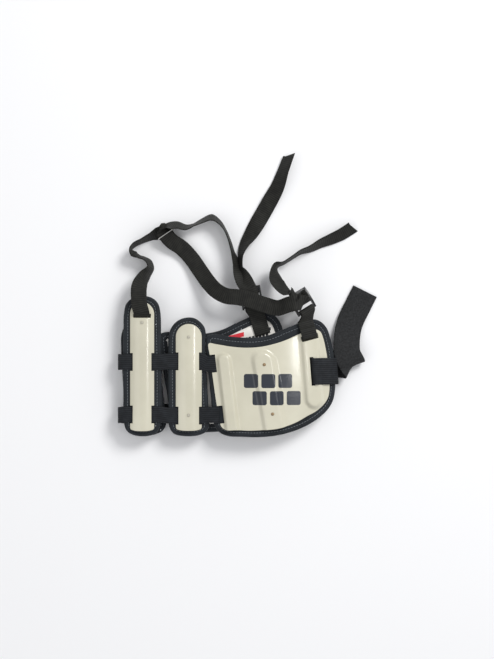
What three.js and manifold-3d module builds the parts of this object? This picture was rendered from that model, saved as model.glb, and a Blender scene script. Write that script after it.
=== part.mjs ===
// A lacrosse rib protector lying folded on a table: five padded panels with moulded shells,
// threaded on elastic bands, with a closing strap and a webbing harness for the shoulders.
// Millimetres, +Z up. +Y points to the wearer's head and +X to the middle of the front.
// The upper layer shows its outer face; the lower layer is the other half, face down.

import * as THREE from "three";
import { mergeVertices } from "three/addons/utils/BufferGeometryUtils.js";
import Module from "manifold-3d";

const wasm = await Module();
wasm.setup();

// Driving dimensions
const clearance = 0.3; // gap between pieces that touch
const foamThickness = 10;
const foamEdgeRound = 3.5; // how far the bound edge rounds in from the outline
const liningThickness = 1;
const liningMargin = 15; // bound edge left bare round the lining
const shellWall = 2;
const narrowShellArch = 5; // rise of a narrow shell across its width
const frontShellRibRise = 6;
const frontPanelArch = 12; // rise of the upper front panel across its width
const frontPanelTilt = 3; // degrees that its free edge hangs down

const backPanel = { width: 61, height: 222, shellWidth: 38, shellHeight: 202 };
const sidePanel = { width: 66, height: 188, shellWidth: 41, shellHeight: 167 };
const frontPanel = { width: 205, height: 186 };

const bandWidth = 25; // elastic that joins the panels
const bandThickness = 1.4;
const bandNotchDepth = 7.2;
const frontNotchDepth = 10; // as far as the first rib, which clears the band
const bandPlay = 4; // what a notch or slot is longer than the strap in it
const webbingWidth = 25;
const webbingThickness = 1.6;
const closureWidth = 42;
const closureThickness = 1.8;
const slotWidth = 7;
const tabSlotWidth = 11;
const sectionsPerSpan = 3; // of a strap, between two points of its route

const rivetHeadRadius = 2.6;
const rivetHeadHeight = 1.1;
const rivetShankRadius = 1.4;

const buckle = { wall: 3, bar: 3, length: 36, depth: 9, tabBarAt: -14.5, midBarAt: -2 };
const ringWire = 2.2;
const ringHeight = 13;
const ringLength = 31;
const ringCorner = 3;
const bucklePlay = 2.6;
const lipLength = 7;

// Height of the lower half's body side: its ribs lie on the closing strap
const lowerInnerFace = foamThickness + frontShellRibRise + shellWall + closureThickness + 3 * clearance;
const layerGap = 2.2; // between the two halves
const upperInnerFace = lowerInnerFace + layerGap;

const fabricBlack = 0x24282b;
const webbingBlack = 0x2a2a27;
const shellWhite = 0xe2dfd2;
const rivetBrown = 0x8a7763;
const liningWhite = 0xe9e6e0;
const buckleBlack = 0x121314;
const ringSteel = 0xc9c8c4;

// Shapes

const solidOf = (geometry) => {
  const bare = geometry.clone();
  bare.deleteAttribute("normal");
  bare.deleteAttribute("uv");
  const merged = mergeVertices(bare, 1e-4);
  const triVerts = new Uint32Array(merged.index.array);
  const vertProperties = merged.attributes.position.array;
  return new wasm.Manifold(new wasm.Mesh({ numProp: 3, vertProperties, triVerts }));
};

const geometryOf = (solid) => {
  const { vertProperties, triVerts } = solid.getMesh();
  const geometry = new THREE.BufferGeometry();
  geometry.setAttribute("position", new THREE.BufferAttribute(vertProperties, 3));
  geometry.setIndex(new THREE.BufferAttribute(triVerts, 1));
  geometry.computeVertexNormals();
  return geometry;
};

const meshOf = (name, geometry, color, roughness = 0.8, metalness = 0) => {
  const mesh = new THREE.Mesh(geometry, new THREE.MeshStandardMaterial({ color, roughness, metalness }));
  mesh.name = name;
  return mesh;
};

const smoothStep = (from, to, value) => THREE.MathUtils.smoothstep(value, from, to);

// A closed smooth outline through points given as shares of a width and a height, anticlockwise.
function outlineOf(shares, width, height, count) {
  const knots = shares.map(([x, y]) => new THREE.Vector3(x * width, y * height, 0));
  const curve = new THREE.CatmullRomCurve3(knots, true, "centripetal");
  const points = curve.getSpacedPoints(count).slice(0, count).map((p) => new THREE.Vector2(p.x, p.y));
  return THREE.ShapeUtils.isClockWise(points) ? points.reverse() : points;
}

// The outline moved inwards by a distance, square to itself.
function insetOutline(outline, distance) {
  const count = outline.length;
  return outline.map((point, i) => {
    const before = outline[(i + count - 1) % count];
    const after = outline[(i + 1) % count];
    const along = after.clone().sub(before).normalize();
    return new THREE.Vector2(point.x - along.y * distance, point.y + along.x * distance);
  });
}

// A closed solid from rings of equal length, fanned shut round a middle point at each end.
function solidFromRings(rings, firstMiddle, lastMiddle) {
  const count = rings[0].length;
  const vertices = rings.flat();
  const first = vertices.push(firstMiddle) - 1;
  const last = vertices.push(lastMiddle) - 1;
  const index = [];
  for (let i = 0; i < count; i++) {
    const next = (i + 1) % count;
    const top = (rings.length - 1) * count;
    index.push(first, next, i, last, top + i, top + next);
    for (let r = 0; r + 1 < rings.length; r++) {
      const a = r * count;
      const b = a + count;
      index.push(a + i, a + next, b + next, a + i, b + next, b + i);
    }
  }
  const geometry = new THREE.BufferGeometry();
  const numbers = vertices.flatMap((v) => v.toArray());
  geometry.setAttribute("position", new THREE.Float32BufferAttribute(numbers, 3));
  geometry.setIndex(index);
  geometry.computeVertexNormals();
  return geometry;
}

// A soft pad with a bound round edge. rise(x, y) lifts both faces, and rings follow it inside.
function padGeometry(outline, thickness, rise, innerRings) {
  const middle = new THREE.Vector2();
  outline.forEach((p) => middle.addScaledVector(p, 1 / outline.length));
  const edge = [
    [1, 0],
    [0.3, 0.12],
    [0, 0.4],
    [0, 0.62],
    [0.3, 0.88],
    [1, 1],
  ];
  const lifted = (p, height) => new THREE.Vector3(p.x, p.y, height * thickness + rise(p.x, p.y));
  const edgeRings = edge.map(([inset, height]) =>
    insetOutline(outline, inset * foamEdgeRound).map((p) => lifted(p, height)),
  );
  const faceRing = (share, height) =>
    insetOutline(outline, foamEdgeRound).map((p) => lifted(p.clone().lerp(middle, 1 - share), height));
  const bottom = innerRings.map((share) => faceRing(share, 0));
  const top = [...innerRings].reverse().map((share) => faceRing(share, 1));
  return solidFromRings([...bottom, ...edgeRings, ...top], lifted(middle, 0), lifted(middle, 1));
}

// A closed curved sheet on a grid. Each column is a function that gives its x at a height y.
function sheetSolid(columns, rows, wall, heightAt) {
  const across = columns.length;
  const vertices = [];
  for (const depth of [0, wall])
    for (const y of rows)
      for (const column of columns) vertices.push(column(y), y, heightAt(column(y), y) + depth);
  const layer = across * rows.length;
  const index = [];
  const quad = (a, b, c, d) => index.push(a, b, c, a, c, d);
  for (let r = 0; r + 1 < rows.length; r++)
    for (let c = 0; c + 1 < across; c++) {
      const a = r * across + c;
      quad(a, a + across, a + across + 1, a + 1);
      quad(layer + a, layer + a + 1, layer + a + across + 1, layer + a + across);
    }
  for (let c = 0; c + 1 < across; c++) {
    const back = (rows.length - 1) * across + c;
    quad(c, c + 1, layer + c + 1, layer + c);
    quad(back, layer + back, layer + back + 1, back + 1);
  }
  for (let r = 0; r + 1 < rows.length; r++) {
    const left = r * across;
    const right = left + across - 1;
    quad(left, layer + left, layer + left + across, left + across);
    quad(right, right + across, layer + right + across, layer + right);
  }
  const geometry = new THREE.BufferGeometry();
  geometry.setAttribute("position", new THREE.Float32BufferAttribute(vertices, 3));
  geometry.setIndex(index);
  return solidOf(geometry);
}

// An upright prism over an outline, from below to above.
function prismSolid(outline, below, above) {
  const shape = new THREE.Shape(outline);
  const geometry = new THREE.ExtrudeGeometry(shape, { depth: above - below, bevelEnabled: false });
  return solidOf(geometry.translate(0, 0, below));
}

const boxSolid = (width, length, height, x, y, z, turn = 0) =>
  solidOf(new THREE.BoxGeometry(width, length, height).rotateZ(turn).translate(x, y, z));

const evenly = (from, to, steps) =>
  Array.from({ length: steps + 1 }, (_, i) => from + ((to - from) * i) / steps);

// A flat strap through frames of { at, across }: its middle, and the direction of its width.
// Each end may be cut on a slant. A skewed strap keeps each width as given, so that it may meet
// a bar askew; any other one keeps its width square to its path.
function strapGeometry(frames, width, thickness, startSlant = 0, endSlant = 0, skewed = false) {
  const centres = new THREE.CatmullRomCurve3(frames.map((frame) => frame.at), false, "centripetal");
  const sections = (frames.length - 1) * sectionsPerSpan;
  const rings = [];
  for (let i = 0; i <= sections; i++) {
    const place = i / sectionsPerSpan;
    const k = Math.min(Math.floor(place), frames.length - 2);
    const along = centres.getTangent(i / sections);
    const across = frames[k].across.clone().lerp(frames[k + 1].across, place - k);
    if (!skewed) across.addScaledVector(along, -across.dot(along));
    across.normalize();
    const face = new THREE.Vector3().crossVectors(along, across).normalize();
    const slant = i === 0 ? startSlant : i === sections ? endSlant : 0;
    const corner = (w, t) =>
      centres
        .getPoint(i / sections)
        .addScaledVector(across, (w * width) / 2)
        .addScaledVector(face, (t * thickness) / 2)
        .addScaledVector(along, w * slant);
    rings.push([corner(-1, -1), corner(1, -1), corner(1, 1), corner(-1, 1)]);
  }
  const middleOf = (ring) => ring.reduce((sum, v) => sum.addScaledVector(v, 1 / 4), new THREE.Vector3());
  return solidFromRings(rings, middleOf(rings[0]), middleOf(rings[sections]));
}

// Frames from rows of { x, y, z, lean }: lean turns the strap's width up from level, in degrees
function framesOf(rows) {
  return rows.map((row, i) => {
    const before = rows[Math.max(i - 1, 0)];
    const after = rows[Math.min(i + 1, rows.length - 1)];
    const side = new THREE.Vector3(before.y - after.y, after.x - before.x, 0).normalize();
    const lean = THREE.MathUtils.degToRad(row.lean);
    const across = side.multiplyScalar(Math.cos(lean)).setZ(Math.sin(lean));
    return { at: new THREE.Vector3(row.x, row.y, row.z), across };
  });
}

// Panels

// Narrow panels: half of the outline as shares of width and height, round at the head
const backOutline = [
  [0, 0.5], [-0.24, 0.487], [-0.41, 0.448], [-0.475, 0.385], [-0.49, 0.2], [-0.5, 0], [-0.495, -0.2],
  [-0.48, -0.4], [-0.4, -0.463], [-0.22, -0.492], [0, -0.5], [0.24, -0.492], [0.4, -0.463], [0.48, -0.4],
  [0.5, -0.2], [0.5, 0], [0.485, 0.2], [0.465, 0.385], [0.4, 0.448], [0.24, 0.487],
];

// The side panel's front edge is pressed in where the front panel's corner meets it
const sideOutline = [
  [0.02, 0.5], [-0.2, 0.485], [-0.37, 0.44], [-0.47, 0.37], [-0.5, 0.24], [-0.5, 0], [-0.495, -0.2],
  [-0.47, -0.42], [-0.36, -0.478], [-0.2, -0.495], [0.04, -0.5], [0.25, -0.49], [0.4, -0.465],
  [0.48, -0.42], [0.475, -0.3], [0.44, -0.05], [0.405, 0.15], [0.395, 0.28], [0.405, 0.35],
  [0.38, 0.41], [0.29, 0.455], [0.16, 0.489],
];

const frontOutline = [
  [-0.497, 0.285], [-0.487, 0.36], [-0.44, 0.377], [-0.312, 0.357], [-0.14, 0.347], [-0.023, 0.366],
  [0.125, 0.43], [0.28, 0.494], [0.343, 0.503], [0.398, 0.477], [0.441, 0.421], [0.468, 0.335],
  [0.488, 0.241], [0.503, 0.1],
  [0.506, -0.017], [0.502, -0.12], [0.484, -0.198], [0.445, -0.267], [0.382, -0.331], [0.304, -0.387],
  [0.211, -0.434], [0.109, -0.469], [0.008, -0.489], [-0.109, -0.497], [-0.226, -0.494], [-0.32, -0.489],
  [-0.382, -0.465], [-0.421, -0.422], [-0.441, -0.361], [-0.46, -0.146], [-0.484, 0.112],
];

const frontShellOutline = [
  [-0.476, 0.298], [-0.421, 0.292], [-0.304, 0.271], [-0.187, 0.262], [-0.07, 0.271], [0.047, 0.301],
  [0.125, 0.331], [0.211, 0.374], [0.281, 0.404], [0.347, 0.416], [0.382, 0.4], [0.406, 0.344], [0.425, 0.258],
  [0.441, 0.155], [0.453, 0.052], [0.457, -0.043], [0.449, -0.146], [0.421, -0.206], [0.359, -0.271],
  [0.281, -0.318], [0.203, -0.366], [0.125, -0.4], [0.047, -0.422], [-0.062, -0.434], [-0.172, -0.439],
  [-0.265, -0.434], [-0.343, -0.434], [-0.371, -0.417], [-0.386, -0.391], [-0.414, -0.228], [-0.449, 0.043],
  [-0.468, 0.198],
];

// Ribs moulded into a front shell: where the centre line meets the panel's top and foot, half
// width and the domed ends, as shares of the panel's width and height
const frontRibs = [
  { topX: -0.396, footX: -0.29, halfWidth: 0.061, topY: 0.224, footY: -0.7 },
  { topX: -0.111, footX: 0.042, halfWidth: 0.105, topY: 0.258, footY: -0.7 },
  { topX: 0.288, footX: 0.36, halfWidth: 0.083, topY: 0.8, footY: -0.267 },
];
const ribShoulder = 0.42; // share of the half width where a rib is level

const frontBandsAt = [0.125, -0.307]; // shares of the panel's height
const sideBandsAt = [0.131, -0.324];
const backBandsAt = [0.03, -0.343];
const backSlotAt = 0.357;
const sideRivetsAt = [0.335, -0.319];
const bandMouth = bandWidth + bandPlay;

const flat = () => 0;
const upright = (x) => () => x;
const foamTop = foamThickness + clearance;

// The middle of a front rib at a height
const ribCentre = (rib, y) =>
  frontPanel.width * THREE.MathUtils.lerp(rib.footX, rib.topX, y / frontPanel.height + 0.5);

// Height of a front shell's ribs above its flat ground
function ribRise(x, y) {
  const { width, height } = frontPanel;
  let rise = 0;
  for (const rib of frontRibs) {
    const half = rib.halfWidth * width;
    const beyond = Math.max(0, y - (rib.topY * height - half), rib.footY * height + half - y);
    const off = Math.hypot(x - ribCentre(rib, y), beyond);
    rise = Math.max(rise, frontShellRibRise * (1 - smoothStep(ribShoulder * half, half, off)));
  }
  return rise;
}

const ribLean = (rib) => Math.atan(((rib.footX - rib.topX) * frontPanel.width) / frontPanel.height);
const onRib = (rib, share) => {
  const y = share * frontPanel.height;
  return new THREE.Vector2(ribCentre(rib, y), y);
};
const closureSlotAt = onRib(frontRibs[2], 0.062);
const tabSlotAt = onRib(frontRibs[2], 0.348);
const tabTurn = THREE.MathUtils.degToRad(14);
const frontRivetsAt = [onRib(frontRibs[1], 0.12), onRib(frontRibs[1], -0.297)];

// A narrow shell's height above its foam
const narrowRise = (shellWidth) => (x) =>
  narrowShellArch * Math.max(0, 1 - (x / (shellWidth / 2)) ** 2);

function rivetGeometry(headAt, depth) {
  const profile = [
    [0, headAt - depth],
    [rivetShankRadius, headAt - depth],
    [rivetShankRadius, headAt + clearance],
    [rivetHeadRadius, headAt + clearance],
    [rivetHeadRadius * 0.8, headAt + clearance + rivetHeadHeight * 0.7],
    [0, headAt + clearance + rivetHeadHeight],
  ];
  return new THREE.LatheGeometry(profile.map(([r, z]) => new THREE.Vector2(r, z)), 10).rotateX(Math.PI / 2);
}

const rivetHole = (x, y) =>
  solidOf(new THREE.CylinderGeometry(rivetShankRadius + clearance, rivetShankRadius + clearance, 80, 10)
    .rotateX(Math.PI / 2).translate(x, y, 0));

const cutAll = (solid, cutters) => cutters.reduce((left, cutter) => left.subtract(cutter), solid);

// A narrow panel: foam, arched shell notched for the bands, rivets, and a slot for webbing if any.
function narrowPanel(name, size, outlineShares, bandsAt, rivetsAt, slotAt) {
  const group = new THREE.Group();
  const { width, height, shellWidth, shellHeight } = size;
  const outline = outlineOf(outlineShares, width, height, 34);
  const holes = rivetsAt.map((share) => rivetHole(0, share * height));
  const foam = solidOf(padGeometry(outline, foamThickness, flat, []));
  group.add(meshOf(`${name}_pad`, geometryOf(cutAll(foam, holes)), fabricBlack));

  const rise = narrowRise(shellWidth);
  const half = { x: shellWidth / 2, y: shellHeight / 2 };
  const head = new THREE.Shape();
  const footCorner = 5;
  head.moveTo(-half.x, -half.y + footCorner);
  head.quadraticCurveTo(-half.x, -half.y, -half.x + footCorner, -half.y);
  head.quadraticCurveTo(0, -half.y - 2, half.x - footCorner, -half.y);
  head.quadraticCurveTo(half.x, -half.y, half.x, -half.y + footCorner);
  head.lineTo(half.x, half.y - half.x);
  head.absarc(0, half.y - half.x, half.x, 0, Math.PI, false);
  const shellOutline = head.getPoints(7);
  const columns = evenly(-half.x - 1, half.x + 1, 10).map(upright);
  const rows = evenly(-half.y - 3, half.y + 1, 3);
  const sheet = sheetSolid(columns, rows, shellWall, (x) => foamTop + rise(x));
  const notches = bandsAt.flatMap((share) =>
    [-1, 1].map((side) =>
      boxSolid(bandNotchDepth * 2, bandMouth, 40, side * half.x, share * height, foamTop),
    ),
  );
  const slot = () => boxSolid(webbingWidth + bandPlay, slotWidth, 40, 0, slotAt * height, foamTop);
  const slots = slotAt === undefined ? [] : [slot()];
  const shell = cutAll(sheet.intersect(prismSolid(shellOutline, 0, 60)), [...notches, ...slots, ...holes]);
  group.add(meshOf(`${name}_shell`, geometryOf(shell), shellWhite, 0.3));

  rivetsAt.forEach((share, i) => {
    const top = foamTop + narrowShellArch + shellWall;
    const geometry = rivetGeometry(top, top - foamThickness / 2);
    const rivet = meshOf(`${name}_rivet_${i + 1}`, geometry, rivetBrown, 0.4, 0.6);
    rivet.position.set(0, share * height, 0);
    group.add(rivet);
  });
  return group;
}

// A front panel: arched foam, ribbed shell with notches and two slots, lining and rivets.
function frontPanelGroup(name, arch) {
  const group = new THREE.Group();
  const { width, height } = frontPanel;
  const archRise = (x) => arch * Math.max(0, 1 - (x / (width / 2)) ** 2);
  const outline = outlineOf(frontOutline, width, height, 44);
  const rivets = frontRivetsAt;
  const holes = rivets.map(({ x, y }) => rivetHole(x, y));
  const foam = solidOf(padGeometry(outline, foamThickness, archRise, [0.28, 0.52, 0.76]));
  group.add(meshOf(`${name}_pad`, geometryOf(cutAll(foam, holes)), fabricBlack));

  const liningOutline = insetOutline(outlineOf(frontOutline, width, height, 30), liningMargin);
  const liningSheet = sheetSolid(
    evenly(-width / 2, width / 2, 10).map(upright), evenly(-height / 2, height / 2, 2), liningThickness,
    (x) => archRise(x) - clearance - liningThickness,
  );
  const lining = cutAll(liningSheet.intersect(prismSolid(liningOutline, -20, 40)), holes);
  group.add(meshOf(`${name}_lining`, geometryOf(lining), liningWhite));

  const shellOutline = outlineOf(frontShellOutline, width, height, 48);
  const heightAt = (x, y) => foamTop + archRise(x) + ribRise(x, y);
  const ribColumns = frontRibs.map((rib) =>
    [-1, -0.72, -0.42, 0, 0.42, 0.72, 1].map(
      (share) => (y) => ribCentre(rib, y) + share * rib.halfWidth * width,
    ),
  );
  const between = (a, b) => (y) => (a.at(-1)(y) + b[0](y)) / 2;
  const columns = [
    upright(-0.56 * width), ...ribColumns[0], between(ribColumns[0], ribColumns[1]), ...ribColumns[1],
    between(ribColumns[1], ribColumns[2]), ...ribColumns[2], upright(0.56 * width),
  ];
  const rows = [-0.47, -0.27, -0.23, -0.18, 0, 0.12, 0.17, 0.21, 0.25, 0.35, 0.46].map(
    (share) => share * height,
  );
  const sheet = sheetSolid(columns, rows, shellWall, heightAt);
  const notches = frontBandsAt.map((share) => {
    const y = share * height;
    const edge = leftEdgeAt(shellOutline, y);
    return boxSolid(frontNotchDepth * 2, bandMouth, 120, edge, y, 0, ribLean(frontRibs[0]));
  });
  const slotAt = (at, across, along, lean) => boxSolid(across, along, 120, at.x, at.y, 0, lean);
  const closureSlot = slotAt(closureSlotAt, slotWidth, closureWidth + bandPlay, ribLean(frontRibs[2]));
  const tabSlot = slotAt(tabSlotAt, webbingWidth + bandPlay, tabSlotWidth, tabTurn);
  const whole = sheet.intersect(prismSolid(shellOutline, -20, 80));
  const shell = cutAll(whole, [...notches, closureSlot, tabSlot, ...holes]);
  group.add(meshOf(`${name}_shell`, geometryOf(shell), shellWhite, 0.3));

  rivets.forEach(({ x, y }, i) => {
    const top = heightAt(x, y) + shellWall;
    const geometry = rivetGeometry(top, top - archRise(x) - foamThickness / 2);
    const rivet = meshOf(`${name}_rivet_${i + 1}`, geometry, rivetBrown, 0.4, 0.6);
    rivet.position.set(x, y, 0);
    group.add(rivet);
  });
  return group;
}

// Where the left side of an outline crosses a height
function leftEdgeAt(outline, y) {
  const crossings = outline.flatMap((p, i) => {
    const q = outline[(i + 1) % outline.length];
    if ((p.y - y) * (q.y - y) > 0 || p.y === q.y) return [];
    return [THREE.MathUtils.lerp(p.x, q.x, (y - p.y) / (q.y - p.y))];
  });
  return Math.min(...crossings);
}

// The halves as they lie

const vest = new THREE.Group();
const backPanelGroup = narrowPanel("back", backPanel, backOutline, backBandsAt, [0.31], backSlotAt);
const rightSideGroup = narrowPanel("right_side", sidePanel, sideOutline, sideBandsAt, sideRivetsAt);
const leftSideGroup = narrowPanel("left_side", sidePanel, sideOutline, sideBandsAt, sideRivetsAt);
const rightFrontGroup = frontPanelGroup("right_front", frontPanelArch);
const leftFrontGroup = frontPanelGroup("left_front", 0);

const turn = THREE.MathUtils.degToRad;
const bandBulge = 7; // how far a band stands off the back panel's edge
const bandTurn = 6;

// Free part of the closing strap: place, and the turn of its width from +Y towards +X
const closureRoute = [
  { x: 100, y: -102, z: 2.6, turn: 0 },
  { x: 146, y: -102.4, z: 3.4, turn: 0 },
  { x: 170, y: -102.6, z: 3.6, turn: 6 },
  { x: 185, y: -104, z: 6, turn: 28 },
  { x: 195, y: -106.5, z: 11, turn: 50 },
  { x: 196.4, y: -104, z: 16, turn: 62 },
  { x: 195, y: -97, z: 18.4, turn: 78 },
  { x: 193, y: -86, z: 17, turn: 98 },
  { x: 193, y: -66, z: 12, turn: 112 },
  { x: 199, y: -38, z: 5.6, turn: 117 },
  { x: 213, y: -8, z: 2.8, turn: 117 },
  { x: 223, y: 14, z: 2, turn: 117 },
];

// Free stretches of the webbing, with the lean of its width: 0 level, 90 on edge
const backRoute = [
  { x: -141, y: -8, z: 42.1, lean: 0 },
  { x: -142, y: 6, z: 39.6, lean: 0 },
  { x: -141.8, y: 20, z: 33.6, lean: 8 },
  { x: -137, y: 32, z: 26.6, lean: 40 },
  { x: -130, y: 42, z: 18, lean: 60 },
  { x: -125, y: 52, z: 14.5, lean: 68 },
  { x: -128, y: 61, z: 13.4, lean: 72 },
  { x: -135, y: 66, z: 13.2, lean: 78 },
  { x: -144, y: 69, z: 13.2, lean: 78 },
  { x: -152, y: 73.5, z: 13.2, lean: 66 },
  { x: -156.5, y: 80, z: 13.2, lean: 84 },
  { x: -151, y: 87.5, z: 13.2, lean: 78 },
  { x: -138, y: 94, z: 13.4, lean: 76 },
  { x: -124, y: 100.5, z: 13.8, lean: 66 },
  { x: -113, y: 105, z: 14, lean: 40 },
];
const leftTailRoute = [
  { x: 95, y: 230, z: 13, lean: 50 },
  { x: 86, y: 205.6, z: 11.5, lean: 46 },
  { x: 77, y: 180.2, z: 8, lean: 28 },
  { x: 63.5, y: 155.2, z: 4.6, lean: 4 },
  { x: 49, y: 129.6, z: 3, lean: 0 },
  { x: 34.4, y: 104.5, z: 8, lean: 30 },
  { x: 24, y: 88, z: 11, lean: 54 },
  { x: 18, y: 70, z: 13.4, lean: 72 },
  { x: 18.4, y: 47, z: 15, lean: 74 },
  { x: 27, y: 26, z: 30, lean: 10 },
];
const leftRunRoute = [
  { x: 31, y: 15, z: 33, lean: 180 },
  { x: 20, y: 34, z: 24, lean: 208 },
  { x: 13, y: 56, z: 16, lean: 240 },
  { x: 6, y: 76, z: 13.2, lean: 258 },
  { x: 0, y: 96, z: 13.2, lean: 262 },
  { x: -7, y: 112, z: 13.2, lean: 262 },
  { x: -16, y: 124, z: 13.2, lean: 254 },
  { x: -28, y: 131, z: 13.4, lean: 242 },
  { x: -42, y: 126, z: 13.4, lean: 250 },
  { x: -56, y: 119.4, z: 13.4, lean: 258 },
  { x: -69, y: 115.4, z: 13.4, lean: 246 },
  { x: -84, y: 119, z: 15, lean: 240 },
];
const rightRunRoute = [
  { x: -91, y: 93, z: 12, lean: 0 },
  { x: -76, y: 83, z: 9, lean: 2 },
  { x: -60, y: 66, z: 8, lean: 2 },
  { x: -46, y: 46, z: 12, lean: 0 },
  { x: -34, y: 29, z: 19, lean: 0 },
  { x: -20, y: 14, z: 30, lean: 0 },
  { x: -4, y: 5.6, z: 37.4, lean: 0 },
  { x: 14, y: 3.6, z: 40.6, lean: 0 },
  { x: 32, y: -0.6, z: 41.4, lean: 0 },
  { x: 58, y: -9, z: 41, lean: 0 },
  { x: 76, y: -13.4, z: 43.6, lean: 0 },
];
const rightTailRoute = [
  { x: 76, y: 28, z: 36, lean: 208 },
  { x: 74, y: 44, z: 24, lean: 238 },
  { x: 77, y: 54, z: 16, lean: 256 },
  { x: 88, y: 59.4, z: 13.4, lean: 262 },
  { x: 103, y: 69, z: 13.2, lean: 260 },
  { x: 114, y: 76, z: 13.2, lean: 256 },
  { x: 129, y: 81, z: 13, lean: 248 },
  { x: 146, y: 90, z: 12, lean: 238 },
  { x: 163, y: 97, z: 10.6, lean: 228 },
  { x: 180, y: 105, z: 10, lean: 222 },
  { x: 197, y: 116, z: 9.6, lean: 220 },
];
const leftTailSlant = -6;
const rightTailSlant = 4;
const lowerTurn = 3; // degrees that the lower half is turned under the upper half
const columnGap = 10; // between the back panel and the side panel beside it
const abutGap = 2.6; // between a side panel and the front panel that presses on it
const foot = -216; // height of the panels' feet, measured from the shoulder buckles

const halfBack = backPanel.width / 2;
const halfSide = sidePanel.width / 2;
const halfFront = frontPanel.width / 2;
const sideWaist = 0.4 * sidePanel.width; // from a side panel's middle to its pressed-in edge
backPanelGroup.position.set(-137, foot + backPanel.height / 2, upperInnerFace);
rightSideGroup.position.set(
  backPanelGroup.position.x + halfBack + columnGap + halfSide, foot + sidePanel.height / 2, upperInnerFace,
);
rightFrontGroup.position.set(
  rightSideGroup.position.x + sideWaist + abutGap + 0.484 * frontPanel.width,
  foot + frontPanel.height / 2 - 1.6,
  upperInnerFace - halfFront * Math.sin(turn(frontPanelTilt)),
);
rightFrontGroup.rotation.y = turn(frontPanelTilt);
leftSideGroup.position.set(
  backPanelGroup.position.x - 1.9 + halfSide - halfBack,
  foot + sidePanel.height / 2,
  lowerInnerFace,
);
leftFrontGroup.position.set(
  leftSideGroup.position.x + sideWaist + abutGap + 0.493 * frontPanel.width,
  foot + frontPanel.height / 2 + 6.6,
  lowerInnerFace,
);
for (const group of [leftSideGroup, leftFrontGroup]) {
  group.rotation.z = turn(lowerTurn);
  group.scale.z = -1; // the other half is its mirror image, face down
}
vest.add(backPanelGroup, rightSideGroup, rightFrontGroup, leftSideGroup, leftFrontGroup);
vest.updateMatrixWorld(true);

// Bands and straps

// A frame of a strap in a group's own axes: its place and the direction of its width
const frameIn = (group, [x, y, z], [ax, ay, az]) => ({
  at: group.localToWorld(new THREE.Vector3(x, y, z)),
  across: new THREE.Vector3(ax, ay, az).transformDirection(group.matrixWorld),
});
const levelX = [1, 0, 0];
const levelY = [0, 1, 0];
const alongRib = [-Math.sin(ribLean(frontRibs[2])), Math.cos(ribLean(frontRibs[2])), 0];
const archOf = (arch, x) => arch * Math.max(0, 1 - (x / halfFront) ** 2);
const upTheTable = new THREE.Vector3(0, 1, 0);
const strapMesh = (name, frames, width, thickness, ...cut) =>
  meshOf(name, strapGeometry(frames, width, thickness, ...cut), webbingBlack, 0.9);

// One elastic band: from under the first rib of one front panel, under the shells of the upper
// half, round the back panel's edge and under the shells of the lower half.
function bandMesh(name, level) {
  const height = foamTop + bandThickness / 2;
  const acrossFront = (group, arch) =>
    [-0.424, -0.44, -0.46, -0.495].map((share) => {
      const x = share * frontPanel.width;
      const y = frontBandsAt[level] * frontPanel.height;
      return frameIn(group, [x, y, height + archOf(arch, x) + 0.4], levelY);
    });
  const acrossNarrow = (group, share, size, near) =>
    [near, near / 2, 0, -0.2, -0.48].map((part) =>
      frameIn(group, [part * size.width, share * size.height, height], levelY),
    );
  const upper = [
    ...acrossFront(rightFrontGroup, frontPanelArch),
    ...acrossNarrow(rightSideGroup, sideBandsAt[level], sidePanel, 0.3),
    ...acrossNarrow(backPanelGroup, backBandsAt[level], backPanel, 0.48),
  ];
  const lower = [
    ...acrossFront(leftFrontGroup, 0),
    ...acrossNarrow(leftSideGroup, sideBandsAt[level], sidePanel, 0.3),
  ].reverse();
  const edge = backPanelGroup.position.x - halfBack - bandBulge;
  const [last, first] = [upper.at(-1).at, lower[0].at];
  const bend = [last.z - bandTurn, first.z + bandTurn].map((z) => ({
    at: new THREE.Vector3(edge, (last.y + first.y) / 2, z),
    across: upTheTable,
  }));
  const frames = [...upper, ...bend, ...lower];
  const strap = solidOf(strapGeometry(frames, bandWidth, bandThickness));
  const holes = [rightSideGroup, leftSideGroup].map((group) => {
    const { x, y } = group.localToWorld(new THREE.Vector3(0, sideRivetsAt[level] * sidePanel.height, 0));
    return rivetHole(x, y);
  });
  return meshOf(name, geometryOf(cutAll(strap, holes)), webbingBlack, 0.9);
}

vest.add(bandMesh("upper_band", 0), bandMesh("lower_band", 1));

// The closing band: anchored under the right rib, up through its slot, over the rim and under it
function closureBandMesh() {
  const group = rightFrontGroup;
  const { x: slotX, y } = closureSlotAt;
  const edge = 0.506 * frontPanel.width;
  const half = closureThickness / 2;
  const over = (x, above) => [x, foamTop + archOf(frontPanelArch, x) + above];
  const route = [
    over(slotX - 11, half + 0.7),
    over(slotX - 6, half + 0.8),
    over(slotX - 1.6, frontShellRibRise - 2.4),
    over(slotX + 1.2, frontShellRibRise + shellWall + 1),
    over(slotX + 5.4, frontShellRibRise + shellWall + half + 1.6),
    over(slotX + 16, shellWall + half + 1.8),
    over(edge - 9, shellWall + half + 1.4),
    over(edge - 3, half + 0.6),
    [edge + 2, foamThickness * 0.85],
    [edge + 2.6, foamThickness * 0.2],
    [edge - 6, -half - 1],
    [edge - 24, -half - liningThickness - 2 * clearance],
  ];
  const frames = route.map(([x, z]) => frameIn(group, [x, y, z], alongRib));
  return strapMesh("closure_band", frames, closureWidth, closureThickness);
}

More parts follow.
